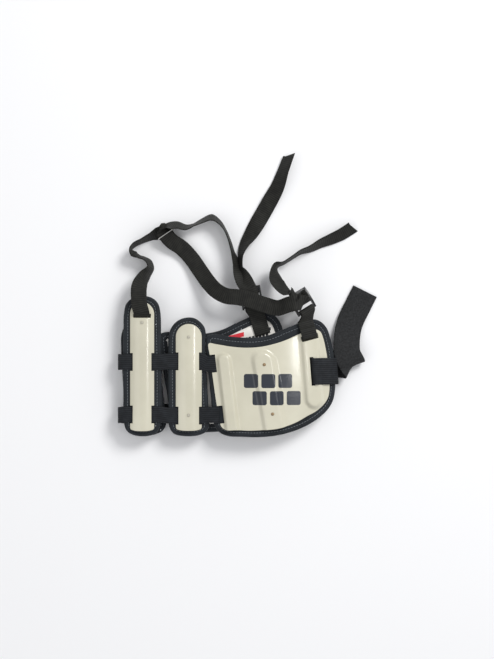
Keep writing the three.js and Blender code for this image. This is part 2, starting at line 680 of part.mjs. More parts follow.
// The closing strap of the lower half: out from under its rib, then a half roll up and away
function closureStrapMesh() {
  const group = leftFrontGroup;
  const { x: slotX, y } = closureSlotAt;
  const half = closureThickness / 2;
  const anchored = [
    [slotX - 11, foamTop + half + 0.7],
    [slotX - 6, foamTop + half + 0.8],
    [slotX - 1.6, foamTop + frontShellRibRise - 2.4],
    [slotX + 1.2, foamTop + frontShellRibRise + shellWall + 0.6],
    [slotX + 6, foamTop + frontShellRibRise + shellWall + half + clearance],
    [slotX + 18, foamTop + frontShellRibRise + shellWall + half + clearance - 1],
  ].map(([x, z]) => frameIn(group, [x, y, z], alongRib));
  const free = closureRoute.map(({ x, y: up, z, turn: degrees }) => {
    const angle = turn(degrees);
    const across = new THREE.Vector3(Math.sin(angle), Math.cos(angle), 0);
    return { at: new THREE.Vector3(x, up, z), across };
  });
  return strapMesh("closure_strap", [...anchored, ...free], closureWidth, closureThickness);
}

vest.add(closureBandMesh(), closureStrapMesh());

// The harness

// A ladder buckle: two side walls, a bar for its tab, a bar for the strap and a ridged lip.
// Its own frame: +Y to the lip, +Z to the front.
function buckleMesh(name) {
  const { wall, bar, length, depth, tabBarAt, midBarAt } = buckle;
  const inner = webbingWidth + bucklePlay;
  const side = new THREE.Shape([
    [-length / 2, -bar],
    [length / 2 - 3, -depth / 2 + 1],
    [length / 2, -1],
    [length / 2, 2],
    [length / 4, depth / 2],
    [-length / 4, depth / 2 - 1],
    [-length / 2, bar / 2],
  ].map(([y, z]) => new THREE.Vector2(y, z)));
  const walls = [-1, 1].map((hand) => {
    const plate = new THREE.ExtrudeGeometry(side, { depth: wall, bevelEnabled: false });
    const toFrame = new THREE.Matrix4().makeBasis(
      new THREE.Vector3(0, 1, 0), new THREE.Vector3(0, 0, 1), new THREE.Vector3(1, 0, 0),
    );
    return solidOf(plate.applyMatrix4(toFrame).translate(hand * (inner + wall) / 2 - wall / 2, 0, 0));
  });
  const rod = (y) => {
    const round = new THREE.CylinderGeometry(bar / 2, bar / 2, inner + wall, 10);
    return solidOf(round.rotateZ(Math.PI / 2).translate(0, y, 0));
  };
  const lip = boxSolid(inner + wall, lipLength, bar, 0, length / 2 - lipLength / 2, 0);
  const ridges = [0.3, 0.7].map((share) =>
    boxSolid(inner - 2, 1.4, bar + 1.6, 0, length / 2 - lipLength * share, 0),
  );
  const others = [walls[1], rod(tabBarAt), rod(midBarAt), lip, ...ridges];
  const solid = others.reduce((sum, part) => sum.add(part), walls[0]);
  return meshOf(name, geometryOf(solid), buckleBlack, 0.3);
}

const rightBuckle = buckleMesh("right_buckle");
rightBuckle.position.set(114.6, -3.4, 33.5);
rightBuckle.rotation.set(0, turn(15), turn(31.6), "ZYX");
const leftBuckle = buckleMesh("left_buckle");
leftBuckle.position.set(35.2, 3.2, 24);
leftBuckle.rotation.set(0, 0, turn(9));
vest.add(rightBuckle, leftBuckle);

// The ring between the back strap and the shoulder strap stands on its long side
const ring = new THREE.Group();
ring.position.set(-100.8, 104.3, 15);
ring.rotation.z = turn(34.5);
function ringGeometry() {
  const halfLength = (ringLength - ringWire) / 2;
  const halfHeight = (ringHeight - ringWire) / 2;
  const path = [];
  for (const [x, z, from] of [[1, 1, 0], [-1, 1, 1], [-1, -1, 2], [1, -1, 3]]) {
    for (const angle of evenly((from * Math.PI) / 2, ((from + 1) * Math.PI) / 2, 4)) {
      const bend = new THREE.Vector3(Math.cos(angle), 0, Math.sin(angle)).multiplyScalar(ringCorner);
      const corner = new THREE.Vector3(x * (halfLength - ringCorner), 0, z * (halfHeight - ringCorner));
      path.push(bend.add(corner));
    }
  }
  const count = path.length;
  const side = new THREE.Vector3(0, 1, 0);
  const vertices = path.flatMap((at, i) => {
    const along = path[(i + 1) % count].clone().sub(path[(i + count - 1) % count]).normalize();
    const face = new THREE.Vector3().crossVectors(along, side);
    return evenly(0, 2 * Math.PI, 8).slice(0, 8).map((angle) =>
      at
        .clone()
        .addScaledVector(side, (Math.cos(angle) * ringWire) / 2)
        .addScaledVector(face, (Math.sin(angle) * ringWire) / 2),
    );
  });
  const index = [];
  for (let r = 0; r < count; r++) {
    for (let k = 0; k < 8; k++) {
      const [a, b] = [r * 8, ((r + 1) % count) * 8];
      const next = (k + 1) % 8;
      index.push(a + k, a + next, b + next, a + k, b + next, b + k);
    }
  }
  const geometry = new THREE.BufferGeometry();
  const numbers = vertices.flatMap((v) => v.toArray());
  geometry.setAttribute("position", new THREE.Float32BufferAttribute(numbers, 3));
  geometry.setIndex(index);
  geometry.computeVertexNormals();
  return geometry;
}
ring.add(meshOf("strap_ring", ringGeometry(), ringSteel, 0.3, 1));
vest.add(ring);
vest.updateMatrixWorld(true);

const barTurn = buckle.bar / 2 + clearance + webbingThickness / 2 + 0.4;

// From a buckle's window round its middle bar, on its back (side 1) or its front (side -1)
const roundMidBar = (group, heights, side = 1) => [
  frameIn(group, [0, buckle.midBarAt - barTurn, heights.down], levelX),
  frameIn(group, [0, buckle.midBarAt - barTurn, 0], levelX),
  frameIn(group, [0, buckle.midBarAt, -side * barTurn], levelX),
  frameIn(group, [0, buckle.midBarAt + barTurn, 0], levelX),
  frameIn(group, [0, buckle.midBarAt + barTurn + 0.6, heights.up], levelX),
];

function backStrapMesh() {
  const panel = backPanelGroup;
  const slotY = backSlotAt * backPanel.height;
  const under = foamTop + webbingThickness / 2 + clearance;
  const over = foamTop + narrowShellArch + shellWall + clearance + webbingThickness / 2;
  const anchored = [
    frameIn(panel, [0, slotY - 7, under], levelX),
    frameIn(panel, [0, slotY - 3.4, under + 0.5], levelX),
    frameIn(panel, [0, slotY, (under + over) / 2 + 0.8], levelX),
    frameIn(panel, [-0.6, slotY + 5, over + 1.2], levelX),
  ];
  const free = framesOf(backRoute);
  const end = [
    frameIn(ring, [0, 7, -2.2], levelX),
    frameIn(ring, [0, 2, -1.6], levelX),
    frameIn(ring, [0, -2, -1.8], levelX),
    frameIn(ring, [0, -4.6, -5.4], levelX),
    frameIn(ring, [0, -2.2, -8.8], levelX),
    frameIn(ring, [0, 4, -9.4], levelX),
  ];
  return strapMesh("back_strap", [...anchored, ...free, ...end], webbingWidth, webbingThickness);
}

function shoulderStrapMesh() {
  const leftTail = framesOf(leftTailRoute);
  const leftRun = framesOf(leftRunRoute);
  const rightRun = framesOf(rightRunRoute);
  const rightTail = framesOf(rightTailRoute);
  const throughRing = [
    frameIn(ring, [4, 8, 5], [0.8, 0, -0.6]),
    frameIn(ring, [0, 4.4, 2], levelX),
    frameIn(ring, [0, 0, 1.4], levelX),
    frameIn(ring, [0, -4, 1.2], levelX),
  ];
  const leftBar = [
    frameIn(leftBuckle, [0, 9, 6.8], levelX),
    ...[...roundMidBar(leftBuckle, { down: 3.6, up: 4.4 })].reverse(),
    frameIn(leftBuckle, [0, -1, 9.6], levelX),
  ];
  const rightBar = [
    frameIn(rightBuckle, [-25, 7, 13], [0.3, 0.95, 0]),
    frameIn(rightBuckle, [-13, 3, 18], [0.5, 0.85, 0]),
    frameIn(rightBuckle, [-2, -3.6, 12], [0.96, 0.28, 0]),
    ...roundMidBar(rightBuckle, { down: 5.4, up: 5.6 }, 1),
    frameIn(rightBuckle, [-0.6, 6, 10], [0.96, -0.28, 0]),
    frameIn(rightBuckle, [-4, 13, 14], [0.8, -0.6, 0]),
    frameIn(rightBuckle, [-16, 20, 15], [0.6, -0.8, 0]),
  ];
  const leftFrames = [...leftTail, ...leftBar, ...leftRun];
  const rightFrames = [...rightRun, ...rightBar, ...rightTail];
  const frames = [...leftFrames, ...throughRing, ...rightFrames];
  const webbing = frames.map(({ at, across }, i) => {
    const before = i > 0 ? frames[i - 1].across : across;
    if (across.dot(before) < 0) across.negate();
    return { at, across };
  });
  return strapMesh("shoulder_strap", webbing, webbingWidth, webbingThickness, leftTailSlant, rightTailSlant);
}

// A webbing tab: out of a front shell's slot, over the rim, round the buckle's bar and back
// onto the lining.
function tabMesh(name, group, buckleOf, arch) {
  const { x, y } = tabSlotAt;
  const lean = new THREE.Vector2(-Math.sin(tabTurn), Math.cos(tabTurn));
  const slope = (2 * arch * x) / halfFront ** 2;
  const across = [Math.cos(tabTurn), Math.sin(tabTurn), -slope];
  const ground = foamTop + archOf(arch, x);
  const half = webbingThickness / 2;
  const at = (run, z) => frameIn(group, [x + lean.x * run, y + lean.y * run, z], across);
  const rimAt = 0.47 * frontPanel.height - y;
  const inner = archOf(arch, x) - liningThickness - 2 * clearance - half;
  const bar = (dy, dz) => frameIn(buckleOf, [0, buckle.tabBarAt + dy, dz], levelX);
  const facing = group === leftFrontGroup ? -1 : 1;
  const halfway = (z, side) => {
    const [rim, end] = [at(rimAt + 3, z), bar(-4.8, side * barTurn)];
    return { at: rim.at.lerp(end.at, 0.4), across: rim.across.lerp(end.across, 0.6).normalize() };
  };
  const outer = ground + half + 2.6;
  const frames = [
    at(-8, ground + half + 0.1),
    at(-5.4, ground + half),
    at(-0.9, ground + frontShellRibRise - 1.6),
    at(0.9, ground + frontShellRibRise + shellWall + half),
    at(5, ground + frontShellRibRise + shellWall + half + clearance),
    at(13, ground + frontShellRibRise + shellWall + half + clearance),
    at(19, ground + shellWall + half + 2.4),
    at(rimAt + 3, outer),
    halfway(outer, facing),
    bar(-4.8, facing * barTurn),
    bar(0.4, facing * barTurn),
    bar(barTurn, 0),
    bar(0.4, -facing * barTurn),
    bar(-4.8, -facing * barTurn),
    halfway(inner - 2.4, -facing),
    at(rimAt + 3, inner - 2.4),
    at(rimAt - 6, inner - 1.2),
    at(rimAt - 18, inner - 1),
    at(rimAt - 30, inner - 0.7),
  ];
  return strapMesh(name, frames, webbingWidth, webbingThickness, 0, 0, true);
}

vest.add(backStrapMesh(), shoulderStrapMesh());
vest.add(tabMesh("right_tab", rightFrontGroup, rightBuckle, frontPanelArch));
vest.add(tabMesh("left_tab", leftFrontGroup, leftBuckle, 0));

// The origin lies on the table under the middle of the whole
const whole = new THREE.Box3().setFromObject(vest, true);
const centre = whole.getCenter(new THREE.Vector3());
vest.position.set(-centre.x, -centre.y, -whole.min.z);

export default vest;
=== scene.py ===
# A lacrosse rib protector, folded flat: foam panels with moulded shells on elastic bands, a closing
# strap and a webbing harness. Sizes are in millimetres and become metres as each mesh is made.
import math

import bmesh
import bpy
from mathutils import Matrix, Vector
from mathutils.geometry import delaunay_2d_cdt


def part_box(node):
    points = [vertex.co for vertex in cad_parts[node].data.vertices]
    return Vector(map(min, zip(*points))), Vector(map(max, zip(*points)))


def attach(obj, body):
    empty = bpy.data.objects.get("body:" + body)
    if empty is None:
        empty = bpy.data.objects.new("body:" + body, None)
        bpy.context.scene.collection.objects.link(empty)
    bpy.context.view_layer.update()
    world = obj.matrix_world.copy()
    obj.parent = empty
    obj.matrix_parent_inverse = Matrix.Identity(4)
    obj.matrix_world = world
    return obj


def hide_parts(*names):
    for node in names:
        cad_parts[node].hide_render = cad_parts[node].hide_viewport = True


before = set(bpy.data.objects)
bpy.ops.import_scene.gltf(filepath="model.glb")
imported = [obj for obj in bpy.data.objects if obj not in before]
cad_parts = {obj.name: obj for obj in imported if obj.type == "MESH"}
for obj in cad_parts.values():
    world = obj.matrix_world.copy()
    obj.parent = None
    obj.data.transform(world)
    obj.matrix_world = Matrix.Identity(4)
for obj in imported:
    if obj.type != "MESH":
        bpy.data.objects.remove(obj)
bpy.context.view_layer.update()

# The view
# The photograph looks straight down on a pale table, lit softly from the upper right, so shadows
# fall to the left and below. A long lens keeps the heights from spreading.
scene = bpy.context.scene
field_height = 1.054
look_at = Vector((-0.0045, -0.0549, 0))
camera_data = bpy.data.cameras.new("camera")
camera_data.lens = 85
camera = bpy.data.objects.new("camera", camera_data)
camera.location = look_at + Vector((0, 0, field_height * camera_data.lens / camera_data.sensor_width))
scene.collection.objects.link(camera)
scene.camera = camera
scene.view_settings.view_transform = "Standard"


def linear(hex_colour):
    """An sRGB colour written in hex, as Blender's linear one."""
    channels = [int(hex_colour[i : i + 2], 16) / 255 for i in (0, 2, 4)]
    return [c / 12.92 if c <= 0.04045 else ((c + 0.055) / 1.055) ** 2.4 for c in channels] + [1]


def material(name):
    """An empty node material with its shader and output."""
    made = bpy.data.materials.new(name)
    made.use_nodes = True
    tree = made.node_tree
    return made, tree, tree.nodes["Principled BSDF"]


def node(tree, kind, inputs=None, **settings):
    """One node: settings are its properties, inputs are values or sockets for its inputs."""
    new = tree.nodes.new(kind)
    for key, value in settings.items():
        setattr(new, key, value)
    for key, value in (inputs or {}).items():
        if isinstance(value, bpy.types.NodeSocket):
            tree.links.new(value, new.inputs[key])
        else:
            new.inputs[key].default_value = value
    return new


def soft_light(name, place, size, power):
    data = bpy.data.lights.new(name, "AREA")
    data.size = size
    data.energy = power
    light = bpy.data.objects.new(name, data)
    light.location = place
    light.rotation_euler = (-Vector(place)).to_track_quat("-Z", "Y").to_euler()
    scene.collection.objects.link(light)


soft_light("window", (1.5, 1.6, 2.2), 1.1, 66)
soft_light("fill", (-1.4, -1.2, 2.2), 2.4, 13)
soft_light("strip", (0.75, -0.1, 2.1), 0.14, 1.6)
world = bpy.data.worlds.new("room")
scene.world = world
world.use_nodes = True
world.node_tree.nodes["Background"].inputs["Color"].default_value = linear("fafbff")
world.node_tree.nodes["Background"].inputs["Strength"].default_value = 0.56

table_mesh = bpy.data.meshes.new("table")
half_table = 4
table_corners = [(x * half_table, y * half_table, 0) for x, y in ((-1, -1), (1, -1), (1, 1), (-1, 1))]
table_mesh.from_pydata(table_corners, [], [(0, 1, 2, 3)])
table = bpy.data.objects.new("table", table_mesh)
scene.collection.objects.link(table)
paper, tree, shader = material("matt_white_card")
shader.inputs["Base Color"].default_value = linear("f2f2f2")
shader.inputs["Roughness"].default_value = 0.9
table_mesh.materials.append(paper)

# The panels as they lie
# Five panels: the upper half's three side by side with their outer faces up, and the lower half's
# two beneath them, face down. Each has axes of its own, +Z out of its outer face.
clearance = 0.3
foam_thickness = 10
shell_wall = 2.0
rib_height = 6
closure_thickness = 1.8
front_arch = 12
back_size = (61, 222)
side_size = (66, 188)
front_size = (205, 186)
column_gap = 10
front_tilt = 3  # degrees that the upper front panel leans down to the right
lower_turn = 3  # degrees that the lower half is turned under the upper half
lower_face = foam_thickness + rib_height + shell_wall + closure_thickness + 3 * clearance
upper_face = lower_face + 2.2
foot = -216


def place(x, y, z, turn=0, tilt=0, face_down=False):
    """A panel's axes: its place, its turn on the table, its tilt to the right, and its face."""
    turned = Matrix.Rotation(math.radians(turn), 4, "Z") @ Matrix.Rotation(math.radians(tilt), 4, "Y")
    return Matrix.Translation((x, y, z)) @ turned @ Matrix.Diagonal((1, 1, -1 if face_down else 1, 1))


waist = 0.4 * side_size[0] + 2.6
back_x = -137
right_side_x = back_x + back_size[0] / 2 + column_gap + side_size[0] / 2
left_side_x = back_x - 1.9 + (side_size[0] - back_size[0]) / 2
back_at = place(back_x, foot + back_size[1] / 2, upper_face)
right_side_at = place(right_side_x, foot + side_size[1] / 2, upper_face)
right_front_at = place(
    right_side_x + waist + 0.484 * front_size[0],
    foot + front_size[1] / 2 - 1.6,
    upper_face - front_size[0] / 2 * math.sin(math.radians(front_tilt)),
    tilt=front_tilt,
)
left_side_at = place(left_side_x, foot + side_size[1] / 2, lower_face, turn=lower_turn, face_down=True)
left_front_at = place(
    left_side_x + waist + 0.493 * front_size[0],
    foot + front_size[1] / 2 + 6.6,
    lower_face,
    turn=lower_turn,
    face_down=True,
)

# The whole is moved so that the table is at height 0 under its middle, as in the frame
low, high = (Vector(corner) * 1000 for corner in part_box("back_pad"))
to_frame = Matrix.Translation((low + high) / 2 - (back_at @ Vector((0, 0, foam_thickness / 2))))


def piece(name, points, faces, at, finish, replaced, smooth=True, uvs=None):
    """A mesh piece from points in millimetres, in its own axes, riding on the one body."""
    whole = to_frame @ at
    mesh = bpy.data.meshes.new(name)
    mesh.from_pydata([(whole @ Vector(p)) / 1000 for p in points], [], faces)
    if uvs:
        layer = mesh.uv_layers.new(name="flat")
        for loop in mesh.loops:
            layer.data[loop.index].uv = uvs[loop.vertex_index]
    work = bmesh.new()
    work.from_mesh(mesh)
    bmesh.ops.recalc_face_normals(work, faces=work.faces)
    work.to_mesh(mesh)
    work.free()
    mesh.polygons.foreach_set("use_smooth", [smooth] * len(mesh.polygons))
    mesh.materials.append(finish)
    made = bpy.data.objects.new(name, mesh)
    scene.collection.objects.link(made)
    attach(made, "root")
    if replaced:
        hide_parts(replaced)
    return made


# Foam panels
# Closed-cell foam about 10 mm thick in a tight dark knit cover. Its edge is bound with a soft
# tape, sewn through with one row of stitches about 7 mm in, which pulls a shallow groove.
knit, tree, shader = material("knit_cover")
shader.inputs["Roughness"].default_value = 0.72
shader.inputs["Specular IOR Level"].default_value = 0.3
shader.inputs["Sheen Weight"].default_value = 0.12
shader.inputs["Sheen Roughness"].default_value = 0.4
where = node(tree, "ShaderNodeTexCoord")
cloudy = node(
    tree, "ShaderNodeTexNoise", {"Vector": where.outputs["Object"], "Scale": 45.0, "Detail": 3.0}
)
shade = node(tree, "ShaderNodeValToRGB", {"Fac": cloudy.outputs["Fac"]})
shade.color_ramp.elements[0].position = 0.3
shade.color_ramp.elements[0].color = linear("12161a")
shade.color_ramp.elements[1].position = 0.72
shade.color_ramp.elements[1].color = linear("22272c")
lint_cells = node(tree, "ShaderNodeTexVoronoi", {"Vector": where.outputs["Object"], "Scale": 150.0})
is_lint = node(tree, "ShaderNodeMath", {0: lint_cells.outputs["Distance"], 1: 0.13}, operation="LESS_THAN")
rare = node(tree, "ShaderNodeMath", {0: lint_cells.outputs["Color"], 1: 0.8}, operation="GREATER_THAN")
lint = node(tree, "ShaderNodeMath", {0: is_lint.outputs[0], 1: rare.outputs[0]}, operation="MULTIPLY")
cover = node(
    tree,
    "ShaderNodeMix",
    {0: lint.outputs[0], 6: shade.outputs["Color"], 7: linear("c3c6c8")},
    data_type="RGBA",
)
tree.links.new(cover.outputs[2], shader.inputs["Base Color"])
# Knit loops are about 0.8 mm apart and are drawn at 1.6 mm, so that they show
loops = node(tree, "ShaderNodeTexVoronoi", {"Vector": where.outputs["Object"], "Scale": 620.0})
raised = node(
    tree, "ShaderNodeBump", {"Height": loops.outputs["Distance"], "Strength": 0.35, "Distance": 0.0006}
)
tree.links.new(raised.outputs["Normal"], shader.inputs["Normal"])

# Grey polyester thread, paler than the knit, so the stitches show as a row of short dashes
thread, tree, shader = material("polyester_thread")
shader.inputs["Base Color"].default_value = linear("6d7276")
shader.inputs["Roughness"].default_value = 0.6


def smooth_outline(shares, size, count):
    """A closed smooth outline, anticlockwise, through points given as shares of a size."""
    knots = [Vector((x * size[0], y * size[1])) for x, y in shares]
    fine = []
    for i in range(len(knots)):
        a, b, c, d = (knots[(i + k) % len(knots)] for k in (-1, 0, 1, 2))
        t = [0]
        for p, q in ((a, b), (b, c), (c, d)):
            t.append(t[-1] + math.sqrt((q - p).length))
        for step in range(12):
            u = t[1] + (t[2] - t[1]) * step / 12
            ab = a.lerp(b, u / t[1])
            bc = b.lerp(c, (u - t[1]) / (t[2] - t[1]))
            cd = c.lerp(d, (u - t[2]) / (t[3] - t[2]))
            abc = ab.lerp(bc, u / t[2])
            bcd = bc.lerp(cd, (u - t[1]) / (t[3] - t[1]))
            fine.append(abc.lerp(bcd, (u - t[1]) / (t[2] - t[1])))
    if sum(p.cross(q) for p, q in zip(fine, fine[1:] + fine[:1])) < 0:
        fine.reverse()
    return evenly_spaced(fine, count)


def evenly_spaced(points, count):
    """A closed run of points set out again at equal steps."""
    ends = points[1:] + points[:1]
    lengths = [(q - p).length for p, q in zip(points, ends)]
    step = sum(lengths) / count
    out, run, k = [], 0.0, 0
    for i in range(count):
        while run + lengths[k] < i * step:
            run += lengths[k]
            k += 1
        out.append(points[k].lerp(ends[k], (i * step - run) / lengths[k]))
    return out


def inset(outline, distance):
    """The outline moved inwards, square to itself."""
    count = len(outline)
    moved = []
    for i, point in enumerate(outline):
        along = (outline[(i + 1) % count] - outline[i - 1]).normalized()
        moved.append(point + Vector((-along.y, along.x)) * distance)
    return moved


def arched(arch, size):
    """How high a panel's face rises at a point: an arch across it, highest in the middle."""
    return lambda x, y: arch * max(0.0, 1 - (x / (size[0] / 2)) ** 2)


# The edge from the inner face round to the outer one: how far in, and what share of the thickness
bound_edge = [
    (12, 0), (8.4, 0.015), (7, 0.07), (5.6, 0.02), (3.5, 0.0), (1.6, 0.05), (0.45, 0.2), (0, 0.42),
    (0, 0.6), (0.45, 0.82), (1.6, 0.96), (3.5, 1.01), (5.6, 0.985), (7, 0.93), (8.4, 0.985), (12, 1),
]
stitch_inset = 7
stitch_pitch = 4.6
stitch_length = 3.2
thread_radius = 0.45
thread_sides = 5


def foam_panel(name, shares, size, rise, at):
    """A bound foam panel, with its row of stitches."""
    outline = smooth_outline(shares, size, 220)
    middle = sum(outline, Vector((0, 0))) / len(outline)
    inner = inset(outline, bound_edge[0][0])
    rings = [[p.lerp(middle, 1 - s) for p in inner] for s in (0.25, 0.5, 0.75)]
    heights = [0, 0, 0]
    for depth, height in bound_edge:
        rings.append(inset(outline, depth))
        heights.append(height)
    rings += [[p.lerp(middle, 1 - s) for p in inner] for s in (0.75, 0.5, 0.25)]
    heights += [1, 1, 1]
    points = []
    for ring, height in zip(rings, heights):
        for i, p in enumerate(ring):
            ripple = 0.15 * math.sin(i * 1.9) * math.sin(i * 0.37) * height
            points.append((p.x, p.y, height * foam_thickness + ripple + rise(p.x, p.y)))
    count = len(outline)
    faces = []
    for r in range(len(rings) - 1):
        for i in range(count):
            j = (i + 1) % count
            faces.append((r * count + i, r * count + j, (r + 1) * count + j, (r + 1) * count + i))
    points += [(middle.x, middle.y, rise(*middle)), (middle.x, middle.y, rise(*middle) + foam_thickness)]
    last = (len(rings) - 1) * count
    for i in range(count):
        j = (i + 1) % count
        faces.append((len(points) - 2, j, i))
        faces.append((len(points) - 1, last + i, last + j))
    pad = piece(f"{name}_foam", points, faces, at, knit, f"{name}_pad")
    stitches(f"{name}_stitches", inset(outline, stitch_inset), rise, at)


def stitches(name, line, rise, at):
    """A row of stitches on both faces, as small rounded bars in one mesh."""
    length = sum((q - p).length for p, q in zip(line, line[1:] + line[:1]))
    spots = evenly_spaced(line, int(length / stitch_pitch))
    points, faces = [], []
    for i, p in enumerate(spots):
        along = (spots[(i + 1) % len(spots)] - p).normalized()
        side = Vector((-along.y, along.x))
        for z in (foam_thickness * 0.955, foam_thickness * 0.045):
            base = len(points)
            far = base + thread_sides
            for end in (-stitch_length / 2, stitch_length / 2):
                for k in range(thread_sides):
                    angle = 2 * math.pi * k / thread_sides
                    q = p + along * end + side * math.cos(angle) * thread_radius
                    points.append((q.x, q.y, z + rise(q.x, q.y) + math.sin(angle) * thread_radius))
            faces.append([base + k for k in range(thread_sides)][::-1])
            faces.append([far + k for k in range(thread_sides)])
            for k in range(thread_sides):
                m = (k + 1) % thread_sides
                faces.append((base + k, base + m, far + m, far + k))
    piece(name, points, faces, at, thread, None)


back_shares = [
    (0, 0.5), (-0.24, 0.487), (-0.41, 0.448), (-0.475, 0.385), (-0.49, 0.2), (-0.5, 0), (-0.495, -0.2),
    (-0.48, -0.4), (-0.4, -0.463), (-0.22, -0.492), (0, -0.5), (0.24, -0.492), (0.4, -0.463), (0.48, -0.4),
    (0.5, -0.2), (0.5, 0), (0.485, 0.2), (0.465, 0.385), (0.4, 0.448), (0.24, 0.487),
]
side_shares = [
    (0.02, 0.5), (-0.2, 0.485), (-0.37, 0.44), (-0.47, 0.37), (-0.5, 0.24), (-0.5, 0), (-0.495, -0.2),
    (-0.47, -0.42), (-0.36, -0.478), (-0.2, -0.495), (0.04, -0.5), (0.25, -0.49), (0.4, -0.465),
    (0.48, -0.42), (0.475, -0.3), (0.44, -0.05), (0.405, 0.15), (0.395, 0.28), (0.405, 0.35), (0.38, 0.41),
    (0.29, 0.455), (0.16, 0.489),
]
front_shares = [
    (-0.497, 0.285), (-0.487, 0.36), (-0.44, 0.377), (-0.312, 0.357), (-0.14, 0.347), (-0.023, 0.366),
    (0.125, 0.43), (0.28, 0.494), (0.343, 0.503), (0.398, 0.477), (0.441, 0.421), (0.468, 0.335),
    (0.488, 0.241), (0.503, 0.1), (0.506, -0.017), (0.502, -0.12), (0.484, -0.198), (0.445, -0.267),
    (0.382, -0.331), (0.304, -0.387), (0.211, -0.434), (0.109, -0.469), (0.008, -0.489),
    (-0.109, -0.497), (-0.226, -0.494), (-0.32, -0.489), (-0.382, -0.465), (-0.421, -0.422),
    (-0.441, -0.361), (-0.46, -0.146), (-0.484, 0.112),
]
flat = arched(0, front_size)
curved = arched(front_arch, front_size)
foam_panel("back", back_shares, back_size, flat, back_at)
foam_panel("right_side", side_shares, side_size, flat, right_side_at)
foam_panel("left_side", side_shares, side_size, flat, left_side_at)
foam_panel("right_front", front_shares, front_size, curved, right_front_at)
foam_panel("left_front", front_shares, front_size, flat, left_front_at)

# Moulded shells
# Each panel carries a 2 mm shell of glossy cream polyethylene, vacuum formed: the narrow ones arch
# across, the front ones have three raised ribs. Notches let the bands in, slots let straps out.
foam_top = foam_thickness + clearance


def glossy_shell(name):
    """Formed polyethylene: a soft gloss with a faint unevenness that bends its highlights."""
    made, tree, shader = material(name)
    shader.inputs["Roughness"].default_value = 0.2
    shader.inputs["IOR"].default_value = 1.5
    shader.inputs["Coat Weight"].default_value = 0.35
    shader.inputs["Coat Roughness"].default_value = 0.1
    where = node(tree, "ShaderNodeTexCoord")
    cloudy = node(
        tree, "ShaderNodeTexNoise", {"Vector": where.outputs["Object"], "Scale": 18.0, "Detail": 4.0}
    )
    shade = node(tree, "ShaderNodeValToRGB", {"Fac": cloudy.outputs["Fac"]})
    shade.color_ramp.elements[0].position = 0.3
    shade.color_ramp.elements[0].color = linear("c5c1ad")
    shade.color_ramp.elements[1].position = 0.75
    shade.color_ramp.elements[1].color = linear("d1cdb9")
    slow = node(
        tree, "ShaderNodeTexNoise", {"Vector": where.outputs["Object"], "Scale": 70.0, "Detail": 2.0}
    )
    uneven = node(
        tree, "ShaderNodeBump", {"Height": slow.outputs["Fac"], "Strength": 0.25, "Distance": 0.0006}
    )
    tree.links.new(uneven.outputs["Normal"], shader.inputs["Normal"])
    tree.links.new(shade.outputs["Color"], shader.inputs["Base Color"])
    return made, tree, shader, shade


plain_shell = glossy_shell("formed_polyethylene")[0]

# The upper front shell is printed with two rows of dark rounded tiles, one row set half a tile on
printed_shell, tree, shader, shade = glossy_shell("printed_polyethylene")
flat_place = node(tree, "ShaderNodeUVMap", uv_map="flat")
axes = node(tree, "ShaderNodeSeparateXYZ", {"Vector": flat_place.outputs["UV"]})

tile_pitch = 27.0
tile_straight = 0.28  # a tile's half width up to its corner's round, as a share of the pitch
tile_corner = 0.13  # the round's radius, as a share of the pitch
print_middle = (9.0, -17.0)
steps = {"x": axes.outputs["X"], "y": axes.outputs["Y"]}
for result, operation, *terms in (
    ("x_from_middle", "SUBTRACT", "x", print_middle[0]),
    ("y_from_middle", "SUBTRACT", "y", print_middle[1]),
    ("x_tiles", "DIVIDE", "x_from_middle", tile_pitch),
    ("y_tiles", "DIVIDE", "y_from_middle", tile_pitch),
    ("row", "FLOOR", "y_tiles"),
    ("row_shift", "MULTIPLY", "row", 0.5),
    ("x_shifted", "ADD", "x_tiles", "row_shift"),
    ("column", "FLOOR", "x_shifted"),
    ("x_in_tile", "FRACT", "x_shifted"),
    ("y_in_tile", "FRACT", "y_tiles"),
    ("x_from_centre", "SUBTRACT", "x_in_tile", 0.5),
    ("y_from_centre", "SUBTRACT", "y_in_tile", 0.5),
    ("x_off", "ABSOLUTE", "x_from_centre"),
    ("y_off", "ABSOLUTE", "y_from_centre"),
    ("x_past", "SUBTRACT", "x_off", tile_straight),
    ("y_past", "SUBTRACT", "y_off", tile_straight),
    ("x_side", "MAXIMUM", "x_past", 0.0),
    ("y_side", "MAXIMUM", "y_past", 0.0),
    ("x_square", "MULTIPLY", "x_side", "x_side"),
    ("y_square", "MULTIPLY", "y_side", "y_side"),
    ("squares", "ADD", "x_square", "y_square"),
    ("from_corner", "SQRT", "squares"),
    ("in_tile", "LESS_THAN", "from_corner", tile_corner),
    ("rows_off", "ABSOLUTE", "y_tiles"),
    ("in_rows", "LESS_THAN", "rows_off", 1.0),
    ("in_columns", "COMPARE", "column", -1.0, 1.1),
    ("in_print", "MULTIPLY", "in_rows", "in_columns"),
    ("ink", "MULTIPLY", "in_tile", "in_print"),
):
    inputs = {k: steps.get(term, term) for k, term in enumerate(terms)}
    steps[result] = node(tree, "ShaderNodeMath", inputs, operation=operation).outputs[0]
printed = node(
    tree,
    "ShaderNodeMix",
    {0: steps["ink"], 6: shade.outputs["Color"], 7: linear("262b34")},
    data_type="RGBA",
)
tree.links.new(printed.outputs[2], shader.inputs["Base Color"])


def box_loop(x, y, width, length, turn=0.0):
    """The corners of a turned rectangle, anticlockwise."""
    c, s = math.cos(turn), math.sin(turn)
    corners = ((-1, -1), (1, -1), (1, 1), (-1, 1))
    return [
        Vector((x + u * width / 2 * c - v * length / 2 * s, y + u * width / 2 * s + v * length / 2 * c))
        for u, v in corners
    ]


